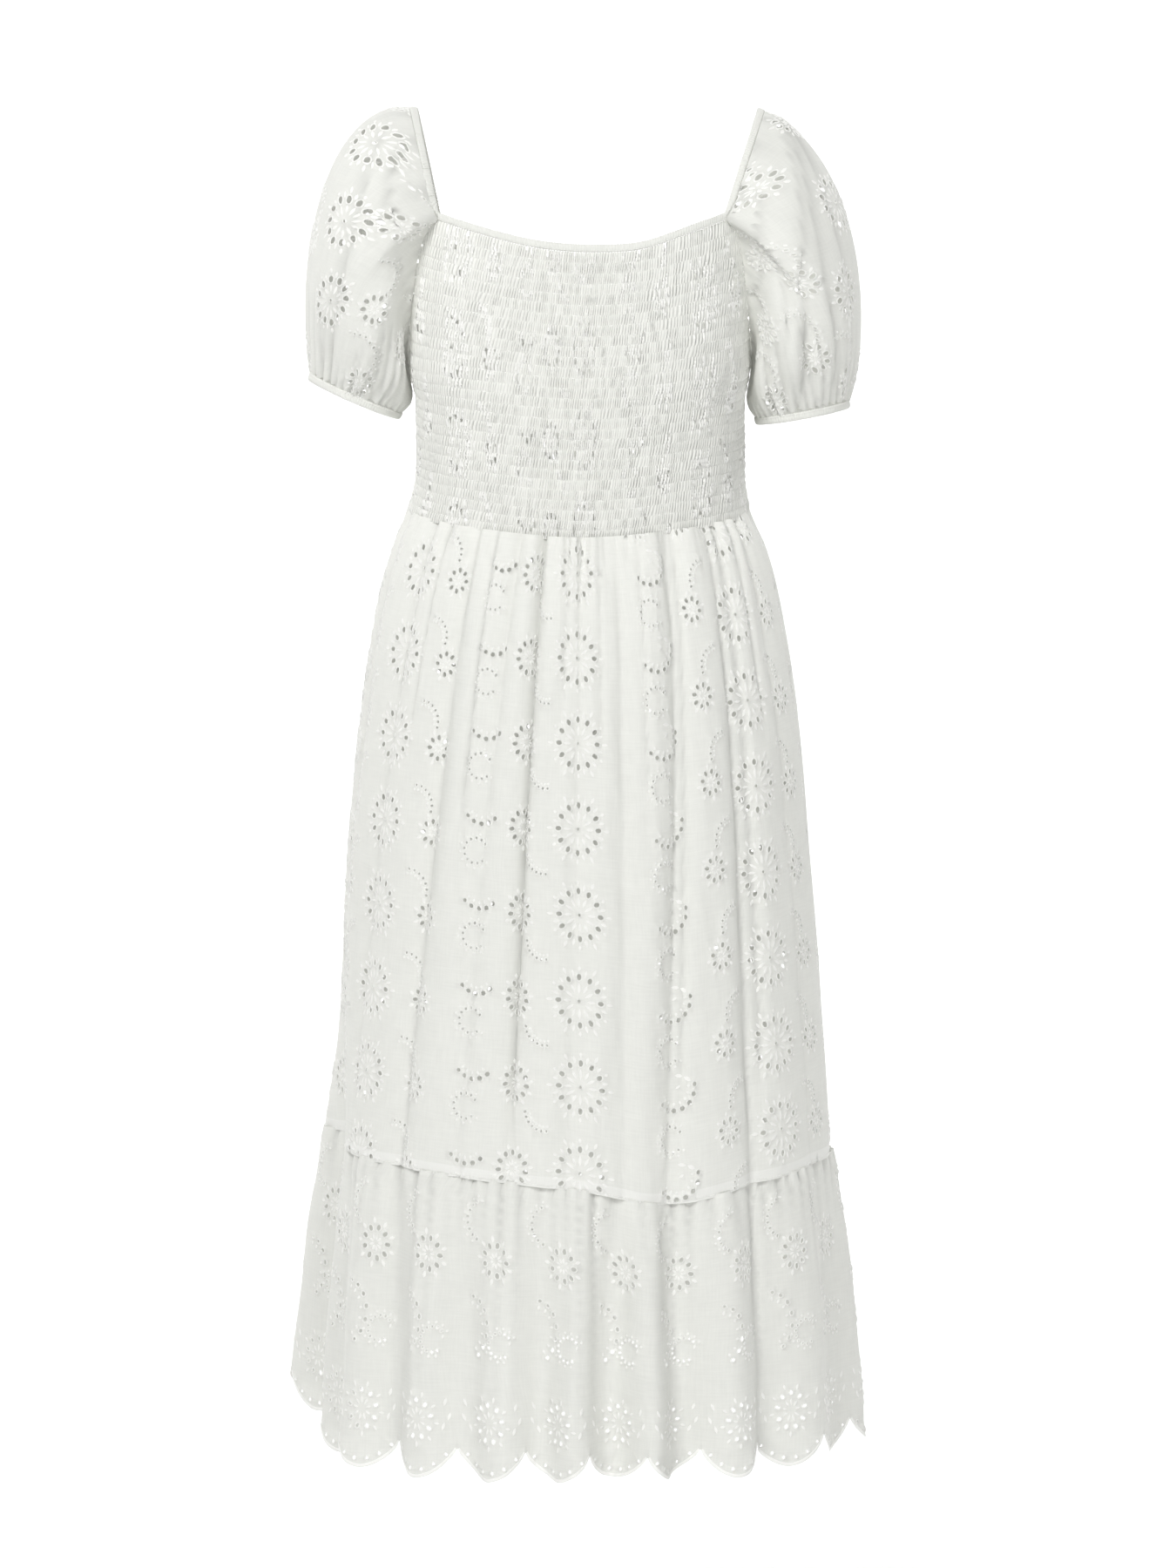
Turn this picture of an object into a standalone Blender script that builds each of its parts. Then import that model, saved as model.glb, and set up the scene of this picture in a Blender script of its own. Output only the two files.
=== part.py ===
"""Midi dress of eyelet-embroidered cotton, worn and filled out with no wearer.

The shirred bodice, the puff sleeves with elastic cuffs, the gathered skirt and the scalloped flounce
are cloth walls. The origin is midway between the shoulder tops, where the dress is held up.
+Z is up, -Y is the dress's back, +Y its front, and +X the right-hand side as seen from the back.
Lengths are in metres and angles in degrees, measured round the body from the middle of the back.
"""
import math

import bmesh
import bpy
import numpy as np
from mathutils import Vector
from mathutils.geometry import delaunay_2d_cdt

CLOTH = 0.0014
SMOCKED_CLOTH = 0.0018
CASING_THICKNESS = 0.0024
CASING_WIDTH = 0.007
SEAM_GAP = 0.0003

NECK_CORNER_Z = -0.109
UNDERARM_Z = -0.226
WAIST_Z = -0.356
NECK_DIP = 0.034
WAIST_DIP = 0.036
FRONT_NECK_DROP = 0.012
FRONT_WAIST_DIP = 0.012
DIP_POWER = 1.8

SMOCKING_ROWS = 28
SMOCKING_HEIGHT = 0.0016
BODICE_COLUMNS = 16
PANEL_COLUMNS = 48
SKIRT_ROWS = 8
HEM_Z = -1.179
FRONT_HEM_RISE = 0.036
FRONT_RISE_START = 80.0
FRONT_RISE_END = 115.0
SCALLOPS_PER_PANEL = 12
SCALLOP_DEPTH = 0.018
FLOUNCE_ROWS = (0.0, 0.26, 0.52, 0.80, 0.925, 1.0)

SLEEVE_COLUMNS = 32
SLEEVE_ROWS = 6
CUFF_WIDTH = 0.007

EYELET_RING = 0.0195
EYELET_LONG = 0.0066
EYELET_WIDE = 0.0056

# Half-widths to the left and right, and depths to the back and front, of the body at each level.
SECTION_COLUMNS = ("level", "left", "right", "back", "front", "squareness")
SECTIONS = (
    (-0.095, 0.149, 0.152, 0.100, 0.098, 3.0),
    (-0.160, 0.155, 0.151, 0.106, 0.110, 3.0),
    (-0.226, 0.155, 0.151, 0.111, 0.120, 2.8),
    (-0.262, 0.149, 0.146, 0.112, 0.119, 2.6),
    (-0.320, 0.149, 0.146, 0.112, 0.110, 2.5),
    (-0.356, 0.156, 0.151, 0.114, 0.111, 2.4),
    (-0.391, 0.170, 0.166, 0.124, 0.121, 2.3),
    (-0.438, 0.184, 0.179, 0.136, 0.132, 2.2),
    (-0.533, 0.199, 0.195, 0.152, 0.147, 2.2),
    (-0.627, 0.210, 0.204, 0.163, 0.157, 2.2),
    (-0.816, 0.224, 0.220, 0.178, 0.171, 2.2),
    (-0.935, 0.233, 0.228, 0.186, 0.178, 2.2),
    (-1.005, 0.240, 0.238, 0.191, 0.184, 2.2),
    (-1.123, 0.249, 0.248, 0.199, 0.192, 2.2),
    (-1.215, 0.254, 0.254, 0.204, 0.197, 2.2),
)

# How far round the bodice panel reaches at each level of the armhole.
ARMHOLE_COLUMNS = ("level", "angle")
ARMHOLE = (
    (-0.2260, 90.0),
    (-0.2215, 84.5),
    (-0.2120, 79.0),
    (-0.1960, 74.0),
    (-0.1700, 69.5),
    (-0.1400, 66.2),
    (-0.1240, 62.6),
    (-0.1163, 58.5),
)

# The seam between skirt and flounce dips to the right of the middle of the back.
FLOUNCE_SEAM_COLUMNS = ("angle", "level")
FLOUNCE_SEAM = (
    (-180.0, -0.944),
    (-135.0, -0.938),
    (-90.0, -0.926),
    (-60.0, -0.932),
    (-30.0, -0.941),
    (0.0, -0.950),
    (22.0, -0.963),
    (45.0, -0.950),
    (70.0, -0.940),
    (90.0, -0.936),
    (135.0, -0.940),
    (180.0, -0.944),
)

# Troughs of the skirt: where each starts at the waist and ends at the flounce, its half-width,
# and its depth at the waist, halfway down and at the flounce.
FOLD_COLUMNS = ("waist", "flounce", "spread", "waist_depth", "middle_depth", "flounce_depth")
FOLDS = (
    (-78.0, -86.0, 5.5, 0.003, 0.007, 0.006),
    (-59.0, -66.0, 5.0, 0.006, 0.005, 0.003),
    (-41.0, -49.0, 4.6, 0.006, 0.009, 0.006),
    (-25.0, -33.0, 4.2, 0.005, 0.004, 0.003),
    (-15.0, -20.0, 3.4, 0.006, 0.006, 0.005),
    (0.0, -4.0, 3.6, 0.005, 0.004, 0.003),
    (14.0, 11.0, 4.2, 0.006, 0.005, 0.004),
    (34.0, 23.0, 4.8, 0.006, 0.009, 0.009),
    (50.0, 46.0, 4.4, 0.006, 0.009, 0.008),
    (66.0, 66.0, 4.6, 0.005, 0.004, 0.003),
    (82.0, 86.0, 5.0, 0.004, 0.006, 0.006),
    (103.0, 106.0, 5.0, 0.005, 0.007, 0.008),
    (122.0, 127.0, 4.6, 0.006, 0.006, 0.004),
    (139.0, 146.0, 4.4, 0.006, 0.008, 0.008),
    (156.0, 160.0, 4.0, 0.005, 0.005, 0.004),
    (174.0, 177.0, 4.2, 0.006, 0.006, 0.006),
    (-167.0, -165.0, 4.0, 0.005, 0.004, 0.004),
    (-150.0, -148.0, 4.6, 0.006, 0.008, 0.009),
    (-132.0, -134.0, 4.4, 0.006, 0.005, 0.004),
    (-113.0, -114.0, 5.0, 0.005, 0.004, 0.002),
)
GATHERS = 24
GATHER_DEPTH = 0.0016
GATHER_FADE = 0.09

# The flounce waves round the body. At the left side it tucks in, and a lobe stands out in front of the tuck.
FLOUNCE_WAVES = 18
WAVE_DEPTH_AT_SEAM = 0.0024
WAVE_DEPTH_AT_HEM = 0.0115
LEFT_LOBE_ANGLE = -108.0
LEFT_LOBE_SPREAD = 14.0
LEFT_LOBE_REACH = 0.027
LEFT_TUCK_ANGLE = -85.0
LEFT_TUCK_SPREAD = 10.5
LEFT_TUCK_DEPTH = 0.036
LEFT_FOLD_START = 0.55

# Sleeve: the arch over the shoulder, the elastic cuff, and the way the cloth leaves the neck and armhole.
ARCH_NODES = 4
ARCH_END = 0.93
ARMHOLE_NODES = 11
ARMHOLE_TOP = 0.985
CORNER_ROOM = 0.0012
# At the top of the sleeve the cloth reaches out, rises and comes back to the cuff by its own sizes.
CUFF_COLUMNS = ("side", "x", "z", "half_width", "tilt", "half_depth", "back_drop")
CUFFS = {
    "left": (-1, -0.2035, -0.2535, 0.0445, 23.6, 0.043, 0.006),
    "right": (1, 0.1985, -0.2680, 0.0425, 10.5, 0.042, 0.006),
}
TOP_COLUMNS = ("shoulder_x", "start", "lift", "end")
SLEEVE_TOPS = {-1: (0.1475, 0.086, 0.10, 0.068), 1: (0.1580, 0.104, -0.40, 0.046)}
TOP_FADES_BY = 8.0
# The way out, back and up in which the cloth leaves each node, and how far it reaches at start and end.
SLEEVE_PATH_COLUMNS = ("node", "out", "back", "up", "start", "end")
SLEEVE_PATHS = (
    (0, 1.00, 0.00, 0.00, 0.074, 0.092),
    (4, 0.80, 0.55, -0.05, 0.058, 0.092),
    (5, 0.72, 0.62, -0.30, 0.048, 0.090),
    (8, 0.64, 0.62, -0.46, 0.044, 0.078),
    (12, 0.66, 0.42, -0.62, 0.028, 0.048),
    (16, 0.30, 0.00, -0.95, 0.016, 0.018),
)
BLOUSE_OUT = 0.58
BLOUSE_UP = 0.81
SLEEVE_WAVES = 8
SLEEVE_WAVE_DEPTH = 0.0030

COTTON = (0.93, 0.93, 0.90)


def column(table, names, name):
    """One named column of a table as an array."""
    return np.array([row[names.index(name)] for row in table], float)


def smooth_through(x, xs, ys):
    """A smooth curve through the table's points, with no overshoot between them."""
    order = np.argsort(xs)
    xs, ys = np.asarray(xs, float)[order], np.asarray(ys, float)[order]
    x = np.clip(np.asarray(x, float), xs[0], xs[-1])
    slopes = np.diff(ys) / np.diff(xs)
    before, after = slopes[:-1], slopes[1:]
    same_way = before * after > 0
    total = np.where(same_way, before + after, 1.0)
    inner = np.where(same_way, 2.0 * before * after / total, 0.0)
    tangents = np.concatenate([slopes[:1], inner, slopes[-1:]])
    i = np.clip(np.searchsorted(xs, x, side="right") - 1, 0, len(xs) - 2)
    step = xs[i + 1] - xs[i]
    t = (x - xs[i]) / step
    return (
        (1 + 2 * t) * (1 - t) ** 2 * ys[i]
        + t * (1 - t) ** 2 * step * tangents[i]
        + t * t * (3 - 2 * t) * ys[i + 1]
        + t * t * (t - 1) * step * tangents[i + 1]
    )


def unit(vectors):
    """The vectors at length one."""
    return vectors / np.maximum(np.linalg.norm(vectors, axis=-1, keepdims=True), 1e-12)


def wrapped(angle):
    """The angle brought between -180 and 180 degrees."""
    return (np.asarray(angle, float) + 180.0) % 360.0 - 180.0


def section(level, name):
    """One of the body's named sizes at a level."""
    return smooth_through(level, column(SECTIONS, SECTION_COLUMNS, "level"), column(SECTIONS, SECTION_COLUMNS, name))


def body_radius(angle, level):
    """The body's distance from its axis, before any fold."""
    turn = np.radians(angle)
    across, along = np.sin(turn), np.cos(turn)
    wide = np.where(across < 0, section(level, "left"), section(level, "right"))
    deep = np.where(along > 0, section(level, "back"), section(level, "front"))
    power = section(level, "squareness")
    return (np.abs(across / wide) ** power + np.abs(along / deep) ** power) ** (-1.0 / power)


def ring_point(angle, radius, level):
    turn = np.radians(angle)
    return np.stack([radius * np.sin(turn), -radius * np.cos(turn), level + 0.0 * turn], axis=-1)


def dip_share(reach):
    """How much of the dip a point takes, from the middle of a panel at 0 to its edge at 1."""
    return 1.0 - np.minimum(np.abs(reach), 1.0) ** DIP_POWER


def at_bodice_columns(reach, value):
    """The value kept straight between the bodice's columns, so that both sides of a seam agree."""
    nodes = np.linspace(-1.0, 1.0, BODICE_COLUMNS + 1)
    return np.interp(reach, nodes, value(nodes))


def waist_level(angle):
    angle = wrapped(angle)
    back = np.abs(angle) <= 90.0
    reach = np.where(back, angle, wrapped(angle + 180.0)) / 90.0
    dip = np.where(back, WAIST_DIP, FRONT_WAIST_DIP)
    return WAIST_Z - dip * at_bodice_columns(reach, dip_share)


def flounce_seam_level(angle):
    angles = column(FLOUNCE_SEAM, FLOUNCE_SEAM_COLUMNS, "angle")
    return smooth_through(wrapped(angle), angles, column(FLOUNCE_SEAM, FLOUNCE_SEAM_COLUMNS, "level"))


def scallop(angle):
    """How far the scalloped edge hangs below its valleys."""
    pitch = 180.0 / SCALLOPS_PER_PANEL
    across = ((np.asarray(angle, float) + 90.0) / pitch % 1.0) * 2.0 - 1.0
    return SCALLOP_DEPTH * np.maximum(1.0 - across * across, 0.0) ** 0.6


def hem_level(angle):
    share = (np.abs(wrapped(angle)) - FRONT_RISE_START) / (FRONT_RISE_END - FRONT_RISE_START)
    share = np.clip(share, 0.0, 1.0)
    return HEM_Z + FRONT_HEM_RISE * share * share * (3.0 - 2.0 * share)


def fold_depth(angle, down):
    """How far the skirt's troughs lie inside its outline, down being 0 at the waist and 1 at the flounce."""
    depth = np.zeros(np.broadcast(angle, down).shape)
    for waist, flounce, spread, waist_depth, middle_depth, flounce_depth in FOLDS:
        centre = waist + (flounce - waist) * down
        here = smooth_through(down, (0.0, 0.5, 1.0), (waist_depth, middle_depth, flounce_depth))
        depth = depth + here * np.exp(-((wrapped(angle - centre) / spread) ** 2))
    return depth


def gather_wave(angle):
    return np.cos(np.radians(angle) * GATHERS)


def skirt_point(angle, down):
    level = waist_level(angle) * (1.0 - down) + flounce_seam_level(angle) * down
    gathers = GATHER_DEPTH * gather_wave(angle) * np.exp(-down / GATHER_FADE)
    grown = np.clip((down - LEFT_FOLD_START) / (1.0 - LEFT_FOLD_START), 0.0, 1.0) ** 2
    radius = body_radius(angle, level) - fold_depth(angle, down) + gathers + left_fold(angle, grown, 0.65 * grown)
    return ring_point(angle, radius, level)


def left_fold(angle, tuck_share, lobe_share):
    """How far the left side stands out: its lobe less its tuck."""
    lobe = np.exp(-((wrapped(angle - LEFT_LOBE_ANGLE) / LEFT_LOBE_SPREAD) ** 2))
    tuck = np.exp(-((wrapped(angle - LEFT_TUCK_ANGLE) / LEFT_TUCK_SPREAD) ** 2))
    return LEFT_LOBE_REACH * lobe * lobe_share - LEFT_TUCK_DEPTH * tuck * tuck_share


def flounce_wave(angle):
    turn = np.radians(angle)
    uneven = 1.0 + 0.30 * np.sin(3.0 * turn + 1.1) + 0.15 * np.sin(5.0 * turn + 0.4)
    return np.cos(FLOUNCE_WAVES * turn + 1.0 * np.sin(2.0 * turn + 0.7)) * uneven


def flounce_point(angle, down):
    seam = flounce_seam_level(angle)
    level = seam + (hem_level(angle) - seam) * down
    edge = np.clip((down - 0.80) / 0.20, 0.0, 1.0)
    level = level - scallop(angle) * edge**2
    depth = WAVE_DEPTH_AT_SEAM + (WAVE_DEPTH_AT_HEM - WAVE_DEPTH_AT_SEAM) * down**0.8
    side_fold = fold_depth(angle, 1.0 + 0.0 * down) * (1.0 - 0.35 * down)
    lobe = left_fold(angle, 1.0, 0.65 + 0.35 * down)
    radius = body_radius(angle, level) - side_fold + depth * flounce_wave(angle) + lobe
    return ring_point(angle, radius, level)


def flat_normal(point_at, angle, down):
    """The level direction out of a ring of cloth."""
    step = 0.4
    along = point_at(angle + step, down) - point_at(angle - step, down)
    return unit(np.stack([along[..., 1], -along[..., 0], 0.0 * along[..., 2]], axis=-1))


def armhole_curve():
    """Close points of the armhole as level and angle, from the underarm up to the neck corner."""
    levels = column(ARMHOLE, ARMHOLE_COLUMNS, "level")
    angles = column(ARMHOLE, ARMHOLE_COLUMNS, "angle")
    steps = np.hypot(np.diff(levels), np.diff(angles) * 0.0026)
    along = np.concatenate([[0.0], np.cumsum(steps)]) / steps.sum()
    close = np.linspace(0.0, 1.0, 241)
    return close, smooth_through(close, along, levels), smooth_through(close, along, angles)


ARMHOLE_ALONG, ARMHOLE_LEVELS, ARMHOLE_ANGLES = armhole_curve()


def panel_reach(level):
    """How many degrees round the body the bodice panel reaches at this level."""
    return np.interp(level, ARMHOLE_LEVELS, ARMHOLE_ANGLES, left=90.0)


def bodice_point(back, across, level):
    """A point of the bodice's middle surface: across runs from -1 at one edge to 1 at the other."""
    angle = across * panel_reach(level)
    up = (level - WAIST_Z) / (ARMHOLE_LEVELS[-1] - WAIST_Z)
    waist_dip, neck_dip = (WAIST_DIP, NECK_DIP) if back else (FRONT_WAIST_DIP, FRONT_NECK_DROP)
    dip = waist_dip + (neck_dip - waist_dip) * up
    turned = angle if back else angle + 180.0
    z = level - dip * at_bodice_columns(across, dip_share)
    return ring_point(turned, body_radius(turned, level), z)


def bodice_normal(back, across, level):
    step = 0.02
    along = bodice_point(back, across + step, level) - bodice_point(back, across - step, level)
    return unit(np.stack([along[..., 1], -along[..., 0], 0.0 * along[..., 2]], axis=-1))


def new_object(name, points, faces, material):
    mesh = bpy.data.meshes.new(name)
    mesh.from_pydata([tuple(map(float, p)) for p in points], [], [tuple(map(int, f)) for f in faces])
    work = bmesh.new()
    work.from_mesh(mesh)
    bmesh.ops.recalc_face_normals(work, faces=work.faces)
    if work.calc_volume(signed=True) < 0:
        bmesh.ops.reverse_faces(work, faces=work.faces)
    work.to_mesh(mesh)
    work.free()
    mesh.shade_smooth()
    mesh.set_sharp_from_angle(angle=math.radians(50.0))
    mesh.materials.append(material)
    obj = bpy.data.objects.new(name, mesh)
    bpy.context.scene.collection.objects.link(obj)
    return obj


def strip(first, second):
    """Triangles between two rows of vertex numbers, which may hold different counts."""
    faces = []
    i = j = 0
    while i < len(first) - 1 or j < len(second) - 1:
        next_i = (i + 1) / max(len(first) - 1, 1)
        next_j = (j + 1) / max(len(second) - 1, 1)
        if j >= len(second) - 1 or (i < len(first) - 1 and next_i <= next_j):
            faces.append((first[i], first[i + 1], second[j]))
            i += 1
        else:
            faces.append((first[i], second[j + 1], second[j]))
            j += 1
    return faces


def eyelets(centre, one_across, one_down, count, first_angle, columns_wide):
    """Four-sided eyelets round a flower's centre, in the panel's own columns and rows."""
    polygons = []
    room = min(one_across * columns_wide / 2, one_down / 2)
    ring = min(EYELET_RING, room - EYELET_LONG / 2 - 0.0015)
    for k in range(count):
        turn = math.radians(first_angle + 360.0 * k / count)
        out = np.array([math.cos(turn), math.sin(turn)])
        along = np.array([-out[1], out[0]])
        corners = (
            out * (ring - EYELET_LONG / 2),
            out * ring + along * EYELET_WIDE / 2,
            out * (ring + EYELET_LONG / 2),
            out * ring - along * EYELET_WIDE / 2,
        )
        polygons.append([centre + corner / np.array([one_across, one_down]) for corner in corners])
    return polygons


def inside(point, polygon):
    """Whether a point lies in a convex polygon."""
    signs = []
    for a, b in zip(polygon, polygon[1:] + polygon[:1]):
        signs.append((b[0] - a[0]) * (point[1] - a[1]) - (b[1] - a[1]) * (point[0] - a[0]))
    return min(signs) > 0 or max(signs) < 0


def flat_pattern(columns, rows, blocks):
    """The cut cloth as points and triangles in columns and rows, with eyelets cut in its blocks.

    A block is (first column, columns wide, row, list of eyelet polygons)."""
    numbers, points, faces = {}, [], []

    def number(point):
        key = (round(float(point[0]), 5), round(float(point[1]), 5))
        if key not in numbers:
            numbers[key] = len(points)
            points.append((float(point[0]), float(point[1])))
        return numbers[key]

    taken = {(c, row) for first, wide, row, _ in blocks for c in range(first, first + wide)}
    for row in range(rows):
        for c in range(columns):
            if (c, row) in taken:
                continue
            corners = [number(p) for p in ((c, row), (c + 1, row), (c + 1, row + 1), (c, row + 1))]
            if (c + row) % 2:
                faces += [(corners[0], corners[1], corners[2]), (corners[0], corners[2], corners[3])]
            else:
                faces += [(corners[0], corners[1], corners[3]), (corners[1], corners[2], corners[3])]
    for first, wide, row, polygons in blocks:
        outline = [(first + i, row) for i in range(wide + 1)]
        outline += [(first + wide - i, row + 1) for i in range(wide + 1)]
        flat = [Vector(p) for p in outline]
        edges = [(i, (i + 1) % len(flat)) for i in range(len(flat))]
        for polygon in polygons:
            start = len(flat)
            flat += [Vector(p) for p in polygon]
            edges += [(start + i, start + (i + 1) % len(polygon)) for i in range(len(polygon))]
        cut = delaunay_2d_cdt(flat, edges, [], 0, 1e-6)
        for face in cut[2]:
            corners = [cut[0][i] for i in face]
            middle = sum(corners, Vector((0.0, 0.0))) / 3.0
            if not any(inside(middle, polygon) for polygon in polygons):
                faces.append(tuple(number(p) for p in corners))
    return np.array(points), np.array(faces)


def wall(name, flat_points, flat_faces, middle, normal, thickness, material):
    """A closed wall of cloth: the flat pattern laid on a surface, with a face each side and cut edges."""
    outer = middle + normal * thickness / 2
    inner = middle - normal * thickness / 2
    count = len(flat_points)
    faces = [tuple(f) for f in flat_faces] + [tuple(f[::-1] + count) for f in flat_faces]
    used = {}
    for face in flat_faces:
        for a, b in ((face[0], face[1]), (face[1], face[2]), (face[2], face[0])):
            used[(a, b)] = True
    for a, b in used:
        if (b, a) not in used:
            faces += [(b, a, a + count), (b, a + count, b + count)]
    return new_object(name, np.concatenate([outer, inner]), faces, material)


def panel_angle(columns_along, back, edge_gap):
    """The angle of a column of a half-round panel, whose side seams lie at plus and minus 90 degrees."""
    reach = 90.0 - edge_gap
    angle = -reach + 2.0 * reach * columns_along / PANEL_COLUMNS
    return angle if back else angle + 180.0


def seam_angle(radius):
    """Half the seam gap as an angle at this distance from the axis."""
    return math.degrees(SEAM_GAP / 2 / radius)


def skirt_flowers(point_at, first_columns, rows, edge_gap, back):
    """Blocks of the skirt, four columns wide and a row high, that each hold a flower's largest eyelets."""
    blocks = []
    for number_across, first in enumerate(first_columns):
        for row in rows:
            centre = np.array([first + 2.0, row + 0.5])
            angle = panel_angle(centre[0], back, edge_gap)
            one_column = 2.0 * (90.0 - edge_gap) / PANEL_COLUMNS
            wide = np.linalg.norm(
                point_at(np.array(angle + one_column), np.array(centre[1] / SKIRT_ROWS))
                - point_at(np.array(angle - one_column), np.array(centre[1] / SKIRT_ROWS))
            ) / 2.0
            tall = abs(
                point_at(np.array(angle), np.array((row + 1.0) / SKIRT_ROWS))[2]
                - point_at(np.array(angle), np.array(row / SKIRT_ROWS))[2]
            )
            first_angle = 20.0 + 35.0 * ((row + number_across) % 2)
            blocks.append((first, 4, row, eyelets(centre, wide, tall, 4, first_angle, 4)))
    return blocks


def make_skirt(name, back, flower_columns, first_row, material):
    edge_gap = seam_angle(0.148)
    blocks = skirt_flowers(skirt_point, flower_columns, range(first_row, SKIRT_ROWS), edge_gap, back)
    flat, faces = flat_pattern(PANEL_COLUMNS, SKIRT_ROWS, blocks)
    angle = panel_angle(flat[:, 0], back, edge_gap)
    down = flat[:, 1] / SKIRT_ROWS
    middle = skirt_point(angle, down)
    middle[:, 2] -= SEAM_GAP * (1.0 - down)
    wall(name, flat, faces, middle, flat_normal(skirt_point, angle, down), CLOTH, material)


def make_flounce(name, back, material):
    edge_gap = seam_angle(0.225)
    rows = len(FLOUNCE_ROWS) - 1
    columns_per_scallop = PANEL_COLUMNS // SCALLOPS_PER_PANEL
    blocks = []
    for first in range(0, PANEL_COLUMNS, columns_per_scallop):
        row = rows - 3
        tall = (FLOUNCE_ROWS[row + 1] - FLOUNCE_ROWS[row]) * (FLOUNCE_SEAM[5][1] - HEM_Z)
        wide = math.radians(180.0 / PANEL_COLUMNS) * 0.225
        centre = np.array([first + columns_per_scallop / 2, row + 0.52])
        blocks.append((first, columns_per_scallop, row, eyelets(centre, wide, tall, 2, 0.0, 4)))
    flat, faces = flat_pattern(PANEL_COLUMNS, rows, blocks)
    angle = panel_angle(flat[:, 0], back, edge_gap)
    down = np.interp(flat[:, 1], range(rows + 1), FLOUNCE_ROWS)
    middle = flounce_point(angle, down)
    middle[:, 2] -= SEAM_GAP * (1.0 - down)
    wall(name, flat, faces, middle, flat_normal(flounce_point, angle, down), CLOTH, material)


def make_bodice(name, back, material):
    """A shirred panel: rows of puffs between lines of elastic on the outside, and a plain inside."""
    top = ARMHOLE_LEVELS[-1]
    outer_rows = 2 * SMOCKING_ROWS + 1
    inner_rows = 15
    across = np.linspace(-1.0, 1.0, BODICE_COLUMNS + 1)
    side_gap = seam_angle(0.146) / 90.0
    across = np.clip(across, -1.0 + side_gap, 1.0 - side_gap)

    def grid(rows, outside):
        levels = np.linspace(top, WAIST_Z, rows)
        a, level = np.meshgrid(across, levels)
        number = np.arange(rows)[:, None]
        column_number = np.arange(len(across))[None, :]
        on_edge = (number == 0) | (number == rows - 1) | (column_number == 0) | (column_number == len(across) - 1)
        puff = np.where(number % 2 == 1, 1.0 - 0.35 * (column_number % 2), 0.0)
        raised = SMOCKING_HEIGHT * np.where(on_edge, 0.0, puff) if outside else 0.0
        offset = (SMOCKED_CLOTH / 2 + raised) if outside else -SMOCKED_CLOTH / 2 + 0.0 * a
        return bodice_point(back, a, level) + bodice_normal(back, a, level) * np.asarray(offset)[..., None]

    outer, inner = grid(outer_rows, True), grid(inner_rows, False)
    width = len(across)
    points = np.concatenate([outer.reshape(-1, 3), inner.reshape(-1, 3)])
    start = outer_rows * width
    faces = []
    for row in range(outer_rows - 1):
        for c in range(width - 1):
            a = row * width + c
            faces += [(a, a + 1, a + width + 1), (a, a + width + 1, a + width)]
    for row in range(inner_rows - 1):
        for c in range(width - 1):
            a = start + row * width + c
            faces += [(a, a + width + 1, a + 1), (a, a + width, a + width + 1)]
    for c in (0, width - 1):
        faces += strip([row * width + c for row in range(outer_rows)], [start + row * width + c for row in range(inner_rows)])
    for outer_row, inner_row in ((0, 0), (outer_rows - 1, inner_rows - 1)):
        faces += strip(
            [outer_row * width + c for c in range(width)], [start + inner_row * width + c for c in range(width)]
        )
    new_object(name, points, faces, material)


def arch_point(side, swing):
    """The neck edge over the shoulder: swing is -1 at the back corner, 0 at the top and 1 at the front corner."""
    back_corner = bodice_edge(side, True, 1.0)[0]
    front_corner = bodice_edge(side, False, 1.0)[0]
    swing = np.asarray(swing, float)
    quarter = np.radians(90.0 * np.abs(swing))
    corner = np.where(swing[..., None] < 0, back_corner, front_corner) + np.array([0.0, 0.0, CASING_WIDTH + SEAM_GAP])
    top_x = side * SLEEVE_TOPS[side][TOP_COLUMNS.index("shoulder_x")]
    x = top_x + (corner[..., 0] - top_x) * (1.0 - np.cos(quarter))
    return np.stack([x, corner[..., 1] * np.sin(quarter), corner[..., 2] * (1.0 - np.cos(quarter))], axis=-1)


def bodice_edge(side, back, up):
    """A point of the armhole edge, the body's normal there and the way into the hole, up being 0 to 1."""
    up = np.asarray(up, float)
    sign = side if back else -side

    def edge(height):
        turned = sign * np.interp(height, ARMHOLE_ALONG, ARMHOLE_ANGLES)
        turned = turned if back else turned + 180.0
        at = np.interp(height, ARMHOLE_ALONG, ARMHOLE_LEVELS)
        return ring_point(turned, body_radius(turned, at), at), turned, at

    point, turned, level = edge(up)
    tangent = unit(edge(np.clip(up + 0.02, 0, 1))[0] - edge(np.clip(up - 0.02, 0, 1))[0])
    step = 0.4
    before = ring_point(turned - step, body_radius(turned - step, level), level)
    after = ring_point(turned + step, body_radius(turned + step, level), level)
    normal = unit(np.stack([(after - before)[..., 1], -(after - before)[..., 0], 0.0 * level], axis=-1))
    away = unit(np.cross(tangent, normal))
    middle = np.array([side * 0.150, 0.0, -0.150])
    flip = np.sum(away * (middle - point), axis=-1, keepdims=True) < 0
    return point, normal, np.where(flip, -away, away)


def path_value(node, name):
    nodes = column(SLEEVE_PATHS, SLEEVE_PATH_COLUMNS, "node")
    return smooth_through(node, nodes, column(SLEEVE_PATHS, SLEEVE_PATH_COLUMNS, name))


def top_share(node):
    """How far a node takes its sizes from the top of its own sleeve."""
    share = np.clip(1.0 - np.asarray(node, float) / TOP_FADES_BY, 0.0, 1.0)
    return share * share * (3.0 - 2.0 * share)


def leave_direction(side, node, back):
    """The direction in which the sleeve's cloth leaves the neck or the armhole at a node."""
    sign = -1.0 if back else 1.0
    up = path_value(node, "up") + SLEEVE_TOPS[side][TOP_COLUMNS.index("lift")] * top_share(node)
    return unit(np.stack([side * path_value(node, "out"), sign * path_value(node, "back"), up], axis=-1))


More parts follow.
